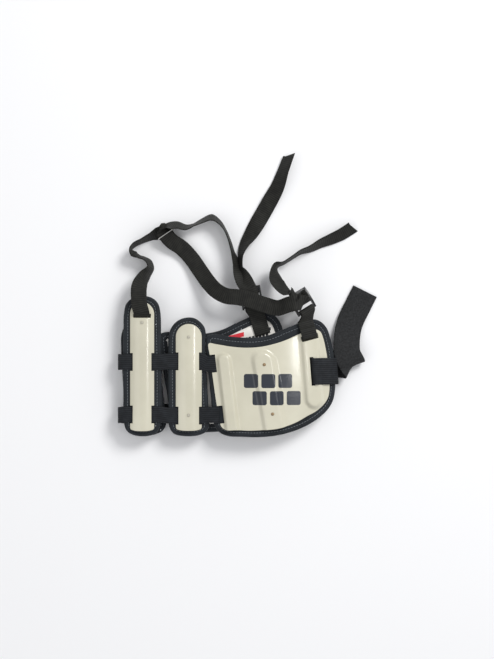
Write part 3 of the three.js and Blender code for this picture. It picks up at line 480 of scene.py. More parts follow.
def inside(point, loop):
    """Whether a point lies within a closed loop."""
    odd = False
    for a, b in zip(loop, loop[1:] + loop[:1]):
        if (a.y > point.y) != (b.y > point.y):
            odd ^= point.x < (b.x - a.x) * (point.y - a.y) / (b.y - a.y) + a.x
    return odd


def moulded_shell(name, edge, notches, slots, height, at, finish, pitch=2.0):
    """A thin formed sheet over its foam: its edge less its notches, with slots cut through."""
    edge = cut_notches(edge, notches)
    loops = [edge] + slots
    points, lines = [], []
    for loop in loops:
        base = len(points)
        points += loop
        lines += [(base + i, base + (i + 1) % len(loop)) for i in range(len(loop))]
    xs = [p.x for p in edge]
    ys = [p.y for p in edge]
    near = [p for loop in loops for p in loop]
    columns = int((max(xs) - min(xs)) / pitch)
    rows = int((max(ys) - min(ys)) / pitch)
    for i in range(1, columns):
        for j in range(1, rows):
            p = Vector((min(xs) + i * pitch, min(ys) + j * pitch))
            clear = inside(p, edge) and not any(inside(p, loop) for loop in slots)
            if clear and min((p - q).length_squared for q in near) > (0.45 * pitch) ** 2:
                points.append(p)
    made = delaunay_2d_cdt(points, lines, [], 0, 1e-4)
    flat_points, triangles = made[0], made[2]
    kept = []
    for face in triangles:
        middle = sum((flat_points[k] for k in face), Vector((0, 0))) / len(face)
        if inside(middle, edge) and not any(inside(middle, loop) for loop in slots):
            kept.append(list(face))
    outer_face = [(p.x, p.y, height(p.x, p.y) + shell_wall) for p in flat_points]
    flat_places = [(p.x, p.y) for p in flat_points]
    shell = piece(
        f"{name}_moulding", outer_face, kept, at, finish, f"{name}_shell", uvs=flat_places
    )
    work = bmesh.new()
    work.from_mesh(shell.data)
    bmesh.ops.delete(work, geom=[v for v in work.verts if not v.link_faces], context="VERTS")
    outward = (to_frame @ at).to_3x3() @ Vector((0, 0, 1))
    if sum((f.normal for f in work.faces), Vector()).dot(outward) < 0:
        bmesh.ops.reverse_faces(work, faces=work.faces)
    work.to_mesh(shell.data)
    work.free()
    wall = shell.modifiers.new("wall", "SOLIDIFY")
    wall.thickness = shell_wall / 1000
    wall.offset = -1
    rounded = shell.modifiers.new("trimmed edge", "BEVEL")
    rounded.width = 0.0006
    rounded.segments = 2
    rounded.angle_limit = math.radians(50)
    return shell


def cut_notches(edge, notches):
    """The edge with each notch's box taken out, walked along the part of the box that lies inside."""
    for notch in notches:
        gone = [inside(p, notch) for p in edge]
        start = next(i for i in range(len(edge)) if not gone[i] and gone[(i + 1) % len(edge)])
        order = [(start + k) % len(edge) for k in range(len(edge))]
        walked = [edge[i] for i in order if not gone[i]]
        within = [p for p in notch if inside(p, edge)]
        before, after = walked[0], walked[1]
        within.sort(key=lambda p: (p - before).length)
        into = mouth_point(before, notch, within[0])
        out_of = mouth_point(after, notch, within[1])
        edge = [before, into, within[0], within[1], out_of] + walked[1:]
    return edge


def mouth_point(outer, notch, inner):
    """Where a notch's side meets the edge, level with its inner corner."""
    across = min((p for p in notch if p is not inner), key=lambda p: abs(p.y - inner.y))
    along = (across - inner).normalized()
    return inner + along * max(0.5, (outer - inner).dot(along))


narrow_arch = 5
band_mouth = 28.0


def narrow_shell(name, width, length, bands, slot, at):
    """A shell with a nearly square foot, straight sides, a round head and an arch across."""
    half_w, half_l = width / 2, length / 2
    foot_points = [(-half_w, -half_l + 4), (-half_w + 1.2, -half_l + 1.2), (-half_w + 5, -half_l)]
    edge = [Vector(p) for p in foot_points]
    bowed = [x for x in (-10, -5, 0, 5, 10) if abs(x) < half_w - 5]
    edge += [Vector((x, -half_l - 1.2 * (1 - (x / half_w) ** 2))) for x in bowed]
    edge += [Vector((-x, y)) for x, y in reversed(foot_points)]
    side = 2 * half_l - half_w - 4
    edge += [Vector((half_w, -half_l + 4 + side * k / 60)) for k in range(1, 60)]
    for k in range(41):
        angle = math.pi * k / 40
        edge.append(Vector((half_w * math.cos(angle), half_l - half_w + half_w * math.sin(angle))))
    edge += [Vector((-half_w, half_l - half_w - side * k / 60)) for k in range(1, 60)]
    notches = [box_loop(x, y, 8.5, band_mouth) for y in bands for x in (-half_w, half_w)]
    slots = [box_loop(0, slot, 28, 6)] if slot else []

    def height(x, y):
        return foam_top + narrow_arch * max(0.0, 1 - (x / half_w) ** 2)

    moulded_shell(name, edge, notches, slots, height, at, plain_shell)


side_bands = [0.131 * side_size[1], -0.324 * side_size[1]]
back_bands = [0.03 * back_size[1], -0.343 * back_size[1]]
narrow_shell("back", 38, 202, back_bands, 0.357 * back_size[1], back_at)
narrow_shell("right_side", 41, 167, side_bands, None, right_side_at)
narrow_shell("left_side", 41, 167, side_bands, None, left_side_at)

front_shell_shares = [
    (-0.476, 0.298), (-0.421, 0.292), (-0.304, 0.271), (-0.187, 0.262), (-0.07, 0.271), (0.047, 0.301),
    (0.125, 0.331), (0.211, 0.374), (0.281, 0.404), (0.347, 0.416), (0.382, 0.4), (0.406, 0.344),
    (0.425, 0.258), (0.441, 0.155), (0.453, 0.052), (0.457, -0.043), (0.449, -0.146), (0.421, -0.206),
    (0.359, -0.271), (0.281, -0.318), (0.203, -0.366), (0.125, -0.4), (0.047, -0.422), (-0.062, -0.434),
    (-0.172, -0.439), (-0.265, -0.434), (-0.343, -0.434), (-0.371, -0.417), (-0.386, -0.391),
    (-0.414, -0.228), (-0.449, 0.043), (-0.468, 0.198),
]
# A rib's middle at the panel's head and foot, its half width and its ends, as shares
front_ribs = [
    {"top": -0.396, "foot": -0.29, "half": 0.061, "head": 0.224, "end": -0.7},
    {"top": -0.111, "foot": 0.042, "half": 0.105, "head": 0.258, "end": -0.7},
    {"top": 0.288, "foot": 0.36, "half": 0.083, "head": 0.8, "end": -0.267},
]
rib_shoulder = 0.55  # where a rib starts to fall, as a share of its half width


def smooth(low, high, value):
    """From 0 at low to 1 at high, without a corner."""
    t = min(1.0, max(0.0, (value - low) / (high - low)))
    return t * t * (3 - 2 * t)


def rib_middle(rib, y):
    """A rib's middle across the panel, at a height on it."""
    share = y / front_size[1] + 0.5
    return front_size[0] * (rib["foot"] + (rib["top"] - rib["foot"]) * share)


def rib_lean(rib):
    """A rib's turn from upright, in radians."""
    return math.atan((rib["foot"] - rib["top"]) * front_size[0] / front_size[1])


def rib_rise(x, y):
    """How high the ribs stand at a point."""
    rise = 0.0
    for rib in front_ribs:
        half = rib["half"] * front_size[0]
        past = max(0.0, y - (rib["head"] * front_size[1] - half), rib["end"] * front_size[1] + half - y)
        off = math.hypot(x - rib_middle(rib, y), past)
        rise = max(rise, rib_height * (1 - smooth(rib_shoulder * half, half, off)))
    return rise


front_bands = [0.125 * front_size[1], -0.307 * front_size[1]]
closure_y = 0.062 * front_size[1]
tab_y = 0.348 * front_size[1]
closure_x = rib_middle(front_ribs[2], closure_y)
tab_x = rib_middle(front_ribs[2], tab_y)
tab_turn = math.radians(14)
closure_width = 42


def front_shell(name, arch, at, finish):
    """A three-ribbed shell, with two notches for the bands and slots for the closure and the tab."""
    edge = smooth_outline(front_shell_shares, front_size, 260)
    notches = []
    for y in front_bands:
        left = min(p.x for p in edge if abs(p.y - y) < 4)
        notches.append(box_loop(left, y, 17, band_mouth, rib_lean(front_ribs[0])))
    slots = [
        box_loop(closure_x, closure_y, 6, closure_width + 3, rib_lean(front_ribs[2])),
        box_loop(tab_x, tab_y, 28.5, 8, tab_turn),
    ]
    rise = arched(arch, front_size)

    def height(x, y):
        return foam_top + rise(x, y) + rib_rise(x, y)

    moulded_shell(name, edge, notches, slots, height, at, finish)


front_shell("right_front", front_arch, right_front_at, printed_shell)
front_shell("left_front", 0, left_front_at, plain_shell)

# Rivets
# Small domed tubular rivets of plated steel hold the shells to the foam. They keep the frame's
# own shapes and get a dull, slightly worn plating.


def plated_steel(name, dark, light, metallic):
    """Plated steel whose lustre and colour are a little uneven from wear."""
    made, tree, shader = material(name)
    shader.inputs["Metallic"].default_value = metallic
    where = node(tree, "ShaderNodeTexCoord")
    worn = node(
        tree, "ShaderNodeTexNoise", {"Vector": where.outputs["Object"], "Scale": 900.0, "Detail": 3.0}
    )
    shade = node(tree, "ShaderNodeValToRGB", {"Fac": worn.outputs["Fac"]})
    shade.color_ramp.elements[0].color = linear(dark)
    shade.color_ramp.elements[1].color = linear(light)
    tree.links.new(shade.outputs["Color"], shader.inputs["Base Color"])
    rough = node(tree, "ShaderNodeMapRange", {"Value": worn.outputs["Fac"], "To Min": 0.3, "To Max": 0.55})
    tree.links.new(rough.outputs["Result"], shader.inputs["Roughness"])
    return made


# The front ones are browner; those on the narrow shells are dull and pale
brassy = plated_steel("brassy_plated_steel", "7d6850", "b39b7a", 0.8)
pale = plated_steel("pale_plated_steel", "a39f90", "cdc9ba", 0.4)
for name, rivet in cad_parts.items():
    if "rivet" in name:
        rivet.data.materials.clear()
        rivet.data.materials.append(brassy if "front" in name else pale)

# Linings
# The body side of each front panel is faced with a smooth white knit, printed with a short red
# bar and rows of small black bars near its upper edge.
white_knit, tree, shader = material("printed_white_knit")
shader.inputs["Roughness"].default_value = 0.85
shader.inputs["Sheen Weight"].default_value = 0.2
flat_place = node(tree, "ShaderNodeUVMap", uv_map="flat")
axes = node(tree, "ShaderNodeSeparateXYZ", {"Vector": flat_place.outputs["UV"]})

tooth_pitch = 5.5
# Each bar: from and to across the panel, from and to up it, and how its length rises
bars = {
    "red": (9, 33, 50, 57, 0.2),
    "long": (30, 72, 43.5, 49, 0.16),
    "short": (62, 76, 52, 57, 0.16),
}
rows = [
    ("teeth_along", "DIVIDE", "x", tooth_pitch),
    ("in_pitch", "FRACT", "teeth_along"),
    ("teeth", "GREATER_THAN", "in_pitch", 0.26),
]
for name, (x_from, x_to, y_from, y_to, slope) in bars.items():
    rows += [
        (f"{name}_climb", "MULTIPLY", "x", slope),
        (f"{name}_level", "SUBTRACT", "y", f"{name}_climb"),
        (f"{name}_x", "COMPARE", "x", (x_from + x_to) / 2, (x_to - x_from) / 2),
        (f"{name}_y", "COMPARE", f"{name}_level", (y_from + y_to) / 2, (y_to - y_from) / 2),
        (f"{name}_bar", "MULTIPLY", f"{name}_x", f"{name}_y"),
    ]
rows += [
    ("long_black", "MULTIPLY", "long_bar", "teeth"),
    ("short_black", "MULTIPLY", "short_bar", "teeth"),
    ("black", "MAXIMUM", "long_black", "short_black"),
]
steps = {"x": axes.outputs["X"], "y": axes.outputs["Y"]}
for result, operation, *terms in rows:
    inputs = {k: steps.get(term, term) for k, term in enumerate(terms)}
    steps[result] = node(tree, "ShaderNodeMath", inputs, operation=operation).outputs[0]
red_on_white = node(
    tree,
    "ShaderNodeMix",
    {0: steps["red_bar"], 6: linear("e9e6df"), 7: linear("d8303c")},
    data_type="RGBA",
)
with_black = node(
    tree,
    "ShaderNodeMix",
    {0: steps["black"], 6: red_on_white.outputs[2], 7: linear("26262a")},
    data_type="RGBA",
)
tree.links.new(with_black.outputs[2], shader.inputs["Base Color"])
where = node(tree, "ShaderNodeTexCoord")
loops = node(tree, "ShaderNodeTexVoronoi", {"Vector": where.outputs["Object"], "Scale": 700.0})
raised = node(
    tree, "ShaderNodeBump", {"Height": loops.outputs["Distance"], "Strength": 0.2, "Distance": 0.0005}
)
tree.links.new(raised.outputs["Normal"], shader.inputs["Normal"])


def lining(name, arch, at):
    """The facing cloth, tucked up into the foam along its edge with a slight pucker."""
    edge = inset(smooth_outline(front_shares, front_size, 160), 13.5)
    rise = arched(arch, front_size)
    middle = sum(edge, Vector((0, 0))) / len(edge)
    points, faces, uvs = [], [], []
    for share in (1, 0.92, 0.7, 0.45, 0.2):
        for i, p in enumerate(edge):
            q = middle.lerp(p, share)
            tuck = 0.9 + 0.045 * math.sin(i * 1.3) if share == 1 else 0
            points.append((q.x, q.y, rise(q.x, q.y) - clearance - 0.9 + tuck))
            uvs.append((q.x, q.y))
    count = len(edge)
    for r in range(4):
        for i in range(count):
            j = (i + 1) % count
            faces.append((r * count + i, r * count + j, (r + 1) * count + j, (r + 1) * count + i))
    points.append((middle.x, middle.y, rise(*middle) - clearance - 0.9))
    uvs.append(tuple(middle))
    faces += [(4 * count + i, 4 * count + (i + 1) % count, len(points) - 1) for i in range(count)]
    cloth = piece(f"{name}_facing", points, faces, at, white_knit, f"{name}_lining", uvs=uvs)
    wall = cloth.modifiers.new("cloth", "SOLIDIFY")
    wall.thickness = 0.0006
    wall.offset = 0


lining("right_front", front_arch, right_front_at)
lining("left_front", 0, left_front_at)

# Elastic bands
# Two bands of 25 mm knitted elastic thread the panels together: out from under the first rib of
# one front panel, under the shells, round the back panel's edge and under the other shells.
rib_height_and_wall = rib_height + shell_wall
strap_steps = 8


def spline(points, steps):
    """Points on a centripetal Catmull-Rom curve, with the place of each in spans."""
    first = points[0] * 2 - points[1]
    last = points[-1] * 2 - points[-2]
    knots = [first, *points, last]
    out = []
    for i in range(1, len(knots) - 2):
        a, b, c, d = knots[i - 1 : i + 3]
        t = [0]
        for p, q in ((a, b), (b, c), (c, d)):
            t.append(t[-1] + max(1e-3, math.sqrt((q - p).length)))
        for step in range(steps + (1 if i == len(knots) - 3 else 0)):
            u = t[1] + (t[2] - t[1]) * step / steps
            ab = a.lerp(b, u / t[1])
            bc = b.lerp(c, (u - t[1]) / (t[2] - t[1]))
            cd = c.lerp(d, (u - t[2]) / (t[3] - t[2]))
            abc = ab.lerp(bc, u / t[2])
            bcd = bc.lerp(cd, (u - t[1]) / (t[3] - t[1]))
            out.append((abc.lerp(bcd, (u - t[1]) / (t[2] - t[1])), i - 1 + step / steps))
    return out


def strap(name, frames, width, thickness, finish, slot, slants=(0, 0), skewed=False):
    """A flat strap with soft edges through frames: its middle and the direction of its width.

    A skewed strap may meet a bar askew; any other keeps its width square to its path.
    """
    run = spline([at for at, across in frames], strap_steps)
    points, uvs, faces = [], [], []
    lower_side = [(-0.5, -0.2), (-0.485, -0.42), (-0.46, -0.5), (-0.23, -0.5), (0, -0.5)]
    lower_side += [(0.23, -0.5), (0.46, -0.5), (0.485, -0.42), (0.5, -0.2)]
    section = lower_side + [(-u, -v) for u, v in lower_side]
    travelled = 0.0
    for i, (at, span) in enumerate(run):
        ahead = run[min(i + 1, len(run) - 1)][0]
        behind = run[max(i - 1, 0)][0]
        along = (ahead - behind).normalized()
        travelled += (at - behind).length
        k = min(int(span), len(frames) - 2)
        across = frames[k][1].lerp(frames[k + 1][1], span - k)
        if not skewed:
            across = across - along * across.dot(along)
        across.normalize()
        face = along.cross(across).normalized()
        slant = slants[0] if i == 0 else slants[1] if i == len(run) - 1 else 0
        sealed = 0.8 if i in (0, len(run) - 1) else 1
        for u, v in section:
            sideways = across * (u * width) + face * (v * thickness * sealed)
            points.append(at + sideways + along * (slant * 2 * u))
            uvs.append((u * width, travelled))
    count = len(section)
    for r in range(len(run) - 1):
        for k in range(count):
            m = (k + 1) % count
            faces.append((r * count + k, r * count + m, (r + 1) * count + m, (r + 1) * count + k))
    faces.append(list(range(count))[::-1])
    faces.append([(len(run) - 1) * count + k for k in range(count)])
    piece(f"{name}_cloth", points, faces, Matrix.Identity(4), finish, name, uvs=uvs)


thread_pitch = 1.9  # the real threads are about 0.5 mm apart; these are coarser, so that they show


def woven(name, dark, light, rib_pitch, ribs_along, height):
    """A woven band: ribs along or across it, finer threads over them, their grooves painted darker as
    shade and their tops lighter, and a dull, worn sheen.
    """
    made, tree, shader = material(name)
    shader.inputs["Roughness"].default_value = 0.62
    shader.inputs["Specular IOR Level"].default_value = 0.2
    shader.inputs["Sheen Weight"].default_value = 0.04
    place_on = node(tree, "ShaderNodeUVMap", uv_map="flat")
    axes = node(tree, "ShaderNodeSeparateXYZ", {"Vector": place_on.outputs["UV"]})
    wear = node(
        tree, "ShaderNodeTexNoise", {"Vector": place_on.outputs["UV"], "Scale": 0.09, "Detail": 3.0}
    )
    over_ribs, along_ribs = ("X", "Y") if ribs_along else ("Y", "X")
    steps = {"over_ribs": axes.outputs[over_ribs], "along_ribs": axes.outputs[along_ribs]}
    steps["wear"] = wear.outputs["Fac"]
    for result, operation, *terms in (
        ("rib_turns", "MULTIPLY", "over_ribs", 2 * math.pi / rib_pitch),
        ("ribs", "SINE", "rib_turns"),
        ("thread_turns", "MULTIPLY", "along_ribs", 2 * math.pi / thread_pitch),
        ("threads", "SINE", "thread_turns"),
        ("rib_part", "MULTIPLY", "ribs", 0.75),
        ("thread_part", "MULTIPLY", "threads", 0.25),
        ("weave", "ADD", "rib_part", "thread_part"),
        # The weave's height also sets the colour: painted shade darkens the grooves between ribs and
        # threads and lightens their tops, added to the uneven wear
        ("groove_shade", "MULTIPLY", "weave", 0.3),
        ("groove_shade_and_wear", "ADD", "groove_shade", "wear"),
    ):
        inputs = {k: steps.get(term, term) for k, term in enumerate(terms)}
        steps[result] = node(tree, "ShaderNodeMath", inputs, operation=operation).outputs[0]
    shade = node(tree, "ShaderNodeValToRGB", {"Fac": steps["groove_shade_and_wear"]})
    shade.color_ramp.elements[0].position = 0.3
    shade.color_ramp.elements[0].color = linear(dark)
    shade.color_ramp.elements[1].position = 0.78
    shade.color_ramp.elements[1].color = linear(light)
    raised = node(tree, "ShaderNodeBump", {"Height": steps["weave"], "Strength": 0.5, "Distance": height})
    tree.links.new(raised.outputs["Normal"], shader.inputs["Normal"])
    tree.links.new(shade.outputs["Color"], shader.inputs["Base Color"])
    return made


# The cords of rubber run along the band, 1.4 mm apart, drawn at 3.2 mm so that they show
elastic_knit = woven("knitted_elastic", "101215", "24272b", 3.2, True, 0.0003)
band_width = 25
band_thickness = 1.4
fold_reach = 7
fold_drop = 6


def in_axes(at, place_in, across_in):
    """A strap's frame given in a panel's or buckle's own axes."""
    return at @ Vector(place_in), (at.to_3x3() @ Vector(across_in)).normalized()


def elastic_band(name, level):
    """One band through all five panels, from the upper half round the fold to the lower half."""
    height = foam_top + band_thickness / 2

    def across_front(at, arch):
        rise = arched(arch, front_size)
        rows = []
        for share in (-0.395, -0.41, -0.44, -0.46, -0.495):
            x = share * front_size[0]
            rows.append(in_axes(at, (x, front_bands[level], height + rise(x, 0) + 0.4), (0, 1, 0)))
        return rows

    def across_narrow(at, y, width, near):
        parts = (near, near / 2, 0, -0.2, -0.48)
        return [in_axes(at, (part * width, y, height), (0, 1, 0)) for part in parts]

    upper = across_front(right_front_at, front_arch)
    upper += across_narrow(right_side_at, side_bands[level], side_size[0], 0.3)
    upper += across_narrow(back_at, back_bands[level], back_size[0], 0.48)
    lower = across_front(left_front_at, 0)
    lower += across_narrow(left_side_at, side_bands[level], side_size[0], 0.3)
    lower.reverse()
    last, first = upper[-1][0], lower[0][0]
    edge = back_x - back_size[0] / 2 - fold_reach
    fold_heights = (last.z - fold_drop, first.z + fold_drop)
    bend = [(Vector((edge, (last.y + first.y) / 2, z)), Vector((0, 1, 0))) for z in fold_heights]
    strap(name, upper + bend + lower, band_width, band_thickness, elastic_knit, "elastic")


elastic_band("upper_band", 0)
elastic_band("lower_band", 1)

# Closing band and closing strap
# A wide elastic band comes up through the upper half's slot and over its rim. The lower half's
# strap is 42 mm hook-and-loop tape, soft with loops, that rolls up and away over the table.
loop_tape, tree, shader = material("loop_tape")
shader.inputs["Roughness"].default_value = 0.9
shader.inputs["Sheen Weight"].default_value = 0.3
shader.inputs["Sheen Roughness"].default_value = 0.35
where = node(tree, "ShaderNodeTexCoord")
tufts = node(
    tree, "ShaderNodeTexNoise", {"Vector": where.outputs["Object"], "Scale": 420.0, "Detail": 6.0}
)
shade = node(tree, "ShaderNodeValToRGB", {"Fac": tufts.outputs["Fac"]})
shade.color_ramp.elements[0].position = 0.35
shade.color_ramp.elements[0].color = linear("0e0f10")
shade.color_ramp.elements[1].position = 0.75
shade.color_ramp.elements[1].color = linear("292a2b")
raised = node(
    tree, "ShaderNodeBump", {"Height": tufts.outputs["Fac"], "Strength": 0.6, "Distance": 0.0008}
)
tree.links.new(raised.outputs["Normal"], shader.inputs["Normal"])
tree.links.new(shade.outputs["Color"], shader.inputs["Base Color"])
along_rib = (-math.sin(rib_lean(front_ribs[2])), math.cos(rib_lean(front_ribs[2])), 0)


def closing_band():
    """Anchored under the right rib, up through its slot, over the rim and back under the panel."""
    rise = arched(front_arch, front_size)
    edge = 0.506 * front_size[0]
    half = closure_thickness / 2
    over = [
        (closure_x - 11, half + 0.7), (closure_x - 6, half + 0.8), (closure_x - 1.6, rib_height - 2.4),
        (closure_x + 1.2, rib_height_and_wall + 1), (closure_x + 5.4, rib_height_and_wall + half + 1.6),
        (closure_x + 16, shell_wall + half + 1.8), (edge - 9, shell_wall + half + 1.4),
        (edge - 3, half + 0.6),
    ]
    route = [(x, foam_top + rise(x, 0) + above) for x, above in over]
    route += [(edge + 2, foam_thickness * 0.85), (edge + 2.6, foam_thickness * 0.2)]
    route += [(edge - 6, -half - 1), (edge - 24, -half - 1.6)]
    frames = [in_axes(right_front_at, (x, closure_y, z), along_rib) for x, z in route]
    strap("closure_band", frames, closure_width, closure_thickness, elastic_knit, "elastic")


closing_band()

# Free part of the closing strap: x, y, height, and its width's turn from +Y towards +X
closing_route = [
    (100, -102, 2.6, 0), (146, -102.4, 3.4, 0), (170, -102.6, 3.6, 6), (185, -104, 6, 28),
    (195, -106.5, 11, 50), (196.4, -104, 16, 62), (193, -97, 18.4, 78), (188, -86, 17, 98),
    (187, -66, 12, 112), (192, -38, 5.6, 117), (206, -8, 2.8, 117), (217, 14, 2, 117),
]


def closing_strap():
    """Anchored as the band is, on the lower half, then free over the table."""
    half = closure_thickness / 2
    on_rib = foam_top + rib_height_and_wall + half + clearance
    anchored = [
        (closure_x - 11, foam_top + half + 0.7), (closure_x - 6, foam_top + half + 0.8),
        (closure_x - 1.6, foam_top + rib_height - 2.4), (closure_x + 1.2, on_rib - half + 0.3),
        (closure_x + 6, on_rib), (closure_x + 18, on_rib - 1),
    ]
    frames = [in_axes(left_front_at, (x, closure_y, z), along_rib) for x, z in anchored]
    for x, y, z, turn in closing_route:
        angle = math.radians(turn)
        frames.append((Vector((x, y, z)), Vector((math.sin(angle), math.cos(angle), 0))))
    strap("closure_strap", frames, closure_width, closure_thickness, loop_tape, "fastener_strap")


closing_strap()

# Buckles
# Two ladder buckles moulded in nylon, glossy black with softened edges. Each hangs by a front
# panel's tab round its lower bar, and the shoulder strap goes round its middle bar.
moulded_nylon, tree, shader = material("moulded_nylon")
shader.inputs["Base Color"].default_value = linear("131415")
shader.inputs["Roughness"].default_value = 0.28
where = node(tree, "ShaderNodeTexCoord")
grain = node(
    tree, "ShaderNodeTexNoise", {"Vector": where.outputs["Object"], "Scale": 900.0, "Detail": 2.0}
)
raised = node(
    tree, "ShaderNodeBump", {"Height": grain.outputs["Fac"], "Strength": 0.15, "Distance": 0.0003}
)
tree.links.new(raised.outputs["Normal"], shader.inputs["Normal"])
right_buckle_at = (
    Matrix.Translation((114.6, -3.4, 33.5))
    @ Matrix.Rotation(math.radians(31.6), 4, "Z")
    @ Matrix.Rotation(math.radians(15), 4, "Y")
)
left_buckle_at = Matrix.Translation((35.2, 3.2, 24)) @ Matrix.Rotation(math.radians(9), 4, "Z")
webbing_width = 25
webbing_thickness = 1.6
buckle_wall = 3
buckle_bar = 3
buckle_length = 36
lip_length = 12
tab_bar_y = -14.5
middle_bar_y = -2
buckle_gap = webbing_width + 2.6


def extruded(work, outline, from_x, to_x):
    """A plate across x with an outline in y and z."""
    ends = [[work.verts.new((x, y, z)) for y, z in outline] for x in (from_x, to_x)]
    work.faces.new(ends[0][::-1])
    work.faces.new(ends[1])
    for i in range(len(outline)):
        j = (i + 1) % len(outline)
        work.faces.new((ends[0][i], ends[0][j], ends[1][j], ends[1][i]))


def ladder_buckle(name, at):
    """Two side walls joined by the tab's bar, the middle bar and a gripping lip with two ridges."""
    half = buckle_length / 2
    wall = [
        (-half, -3), (half - 3, -3.5), (half, -1), (half, 2), (buckle_length / 4, 4.5),
        (-buckle_length / 4, 3.5), (-half, 1.5),
    ]
    work = bmesh.new()
    inner = buckle_gap / 2
    for side in (-1, 1):
        near, far = sorted((side * inner, side * (inner + buckle_wall)))
        extruded(work, wall, near, far)
    reach = inner + buckle_wall / 2
    around = [2 * math.pi * k / 20 for k in range(20)]
    for y in (tab_bar_y, middle_bar_y):
        ring = [(y + buckle_bar / 2 * math.cos(a), buckle_bar / 2 * math.sin(a)) for a in around]
        extruded(work, ring, -reach, reach)
    lip_from = half - lip_length
    extruded(work, [(lip_from, -1.5), (half, -1.5), (half, 1.5), (lip_from, 1.5)], -reach, reach)
    for share in (0.3, 0.7):
        y = half - lip_length * share
        ridge = [(y - 0.7, -2.3), (y + 0.7, -2.3), (y + 0.7, 2.3), (y - 0.7, 2.3)]
        extruded(work, ridge, -inner + 1, inner - 1)
    points = [tuple(v.co) for v in work.verts]
    work.verts.index_update()
    faces = [[v.index for v in f.verts] for f in work.faces]
    work.free()
    buckle = piece(f"{name}_moulding", points, faces, at, moulded_nylon, name)
    softened = buckle.modifiers.new("softened edges", "BEVEL")
    softened.width = 0.0005
    softened.segments = 3
    softened.angle_limit = math.radians(35)
    softened.harden_normals = True


ladder_buckle("right_buckle", right_buckle_at)
ladder_buckle("left_buckle", left_buckle_at)

# Strap ring
# A rectangular ring of 2.2 mm steel wire, bent round, welded and bright nickel plated. It joins
# the back strap to the middle of the shoulder strap and stands on its long side.
nickel, tree, shader = material("nickel_plate")
shader.inputs["Base Color"].default_value = linear("cfcdc8")
shader.inputs["Metallic"].default_value = 1.0
where = node(tree, "ShaderNodeTexCoord")
marks = node(
    tree, "ShaderNodeTexNoise", {"Vector": where.outputs["Object"], "Scale": 300.0, "Detail": 3.0}
)
rough = node(tree, "ShaderNodeMapRange", {"Value": marks.outputs["Fac"], "To Min": 0.12, "To Max": 0.3})
tree.links.new(rough.outputs["Result"], shader.inputs["Roughness"])
ring_at = Matrix.Translation((-100.8, 104.3, 15)) @ Matrix.Rotation(math.radians(34.5), 4, "Z")
ring_wire = 2.2
ring_size = (31, 13)
ring_corner = 3
wire_sides = 16


def wire_ring():
    """The wire's middle line round four bends, and a round skin on it."""
    path = []
    half_x = (ring_size[0] - ring_wire) / 2 - ring_corner
    half_z = (ring_size[1] - ring_wire) / 2 - ring_corner
    for quarter, (x, z) in enumerate(((1, 1), (-1, 1), (-1, -1), (1, -1))):
        for k in range(9):
            angle = math.pi / 2 * (quarter + k / 8)
            bent_x = x * half_x + ring_corner * math.cos(angle)
            bent_z = z * half_z + ring_corner * math.sin(angle)
            path.append(Vector((bent_x, 0, bent_z)))
    points, faces = [], []
    side = Vector((0, 1, 0))
    for i, at in enumerate(path):
        along = (path[(i + 1) % len(path)] - path[i - 1]).normalized()
        face = along.cross(side)
        for k in range(wire_sides):
            angle = 2 * math.pi * k / wire_sides
            points.append(at + (side * math.cos(angle) + face * math.sin(angle)) * (ring_wire / 2))
    for i in range(len(path)):
        here, ahead = i * wire_sides, (i + 1) % len(path) * wire_sides
        for k in range(wire_sides):
            m = (k + 1) % wire_sides
            faces.append((here + k, here + m, ahead + m, ahead + k))
    piece("strap_ring_wire", points, faces, ring_at, nickel, "strap_ring")


wire_ring()

# Webbing
# 25 mm polyester webbing, dull black with fine ribs across it: the back panel's strap to the
# ring, the shoulder strap through the ring and both buckles, and a tab on each front panel.
# Its ribs are 1.3 mm apart and are drawn at 3.2 mm, so that they show
ribbed_webbing = woven("ribbed_webbing", "121210", "272723", 3.2, False, 0.0003)

# The straps' free parts: x, y, height, and the rise of the width from level, in degrees
back_route = [
    (-141, -8, 42.1, 0), (-142, 6, 39.6, 0), (-141.8, 20, 33.6, 8), (-137, 32, 26.6, 40),
    (-130, 42, 18, 60), (-125, 52, 14.5, 68), (-128, 61, 13.4, 72), (-135, 66, 13.2, 78),
    (-144, 69, 13.2, 78), (-152, 73.5, 13.2, 66), (-156.5, 80, 13.2, 84), (-151, 87.5, 13.2, 78),
    (-138, 94, 13.4, 76), (-124, 100.5, 13.8, 66), (-113, 105, 14, 40),
]
left_tail_route = [
    (95, 230, 13, 50), (86, 205.6, 11.5, 46), (77, 180.2, 8, 28), (63.5, 155.2, 4.6, 4), (49, 129.6, 3, 0),
    (34.4, 104.5, 8, 30), (24, 88, 11, 54), (18, 70, 13.4, 72), (18.4, 47, 15, 74), (27, 26, 30, 10),
]
left_run_route = [
    (31, 15, 33, 180), (20, 34, 24, 208), (13, 56, 16, 240), (6, 76, 13.2, 258), (0, 96, 13.2, 262),
    (-7, 112, 13.2, 262), (-16, 124, 13.2, 254), (-28, 131, 13.4, 242), (-42, 126, 13.4, 250),
    (-56, 119.4, 13.4, 258), (-69, 115.4, 13.4, 246), (-84, 119, 15, 240),
]
right_run_route = [
    (-91, 93, 12, 0), (-76, 83, 9, 2), (-60, 66, 8, 2), (-46, 46, 12, 0), (-34, 29, 19, 0),
    (-20, 14, 30, 0), (-4, 5.6, 37.4, 0), (14, 3.6, 40.6, 0), (32, -0.6, 41.4, 0), (58, -9, 41, 0),
    (76, -13.4, 43.6, 0),
]
right_tail_route = [
    (76, 28, 36, 208), (74, 44, 24, 238), (77, 54, 16, 256), (88, 59.4, 13.4, 262), (103, 69, 13.2, 260),
    (114, 76, 13.2, 256), (129, 81, 13, 248), (146, 90, 12, 238), (163, 97, 10.6, 228),
    (180, 105, 10, 222), (197, 116, 9.6, 220),
]


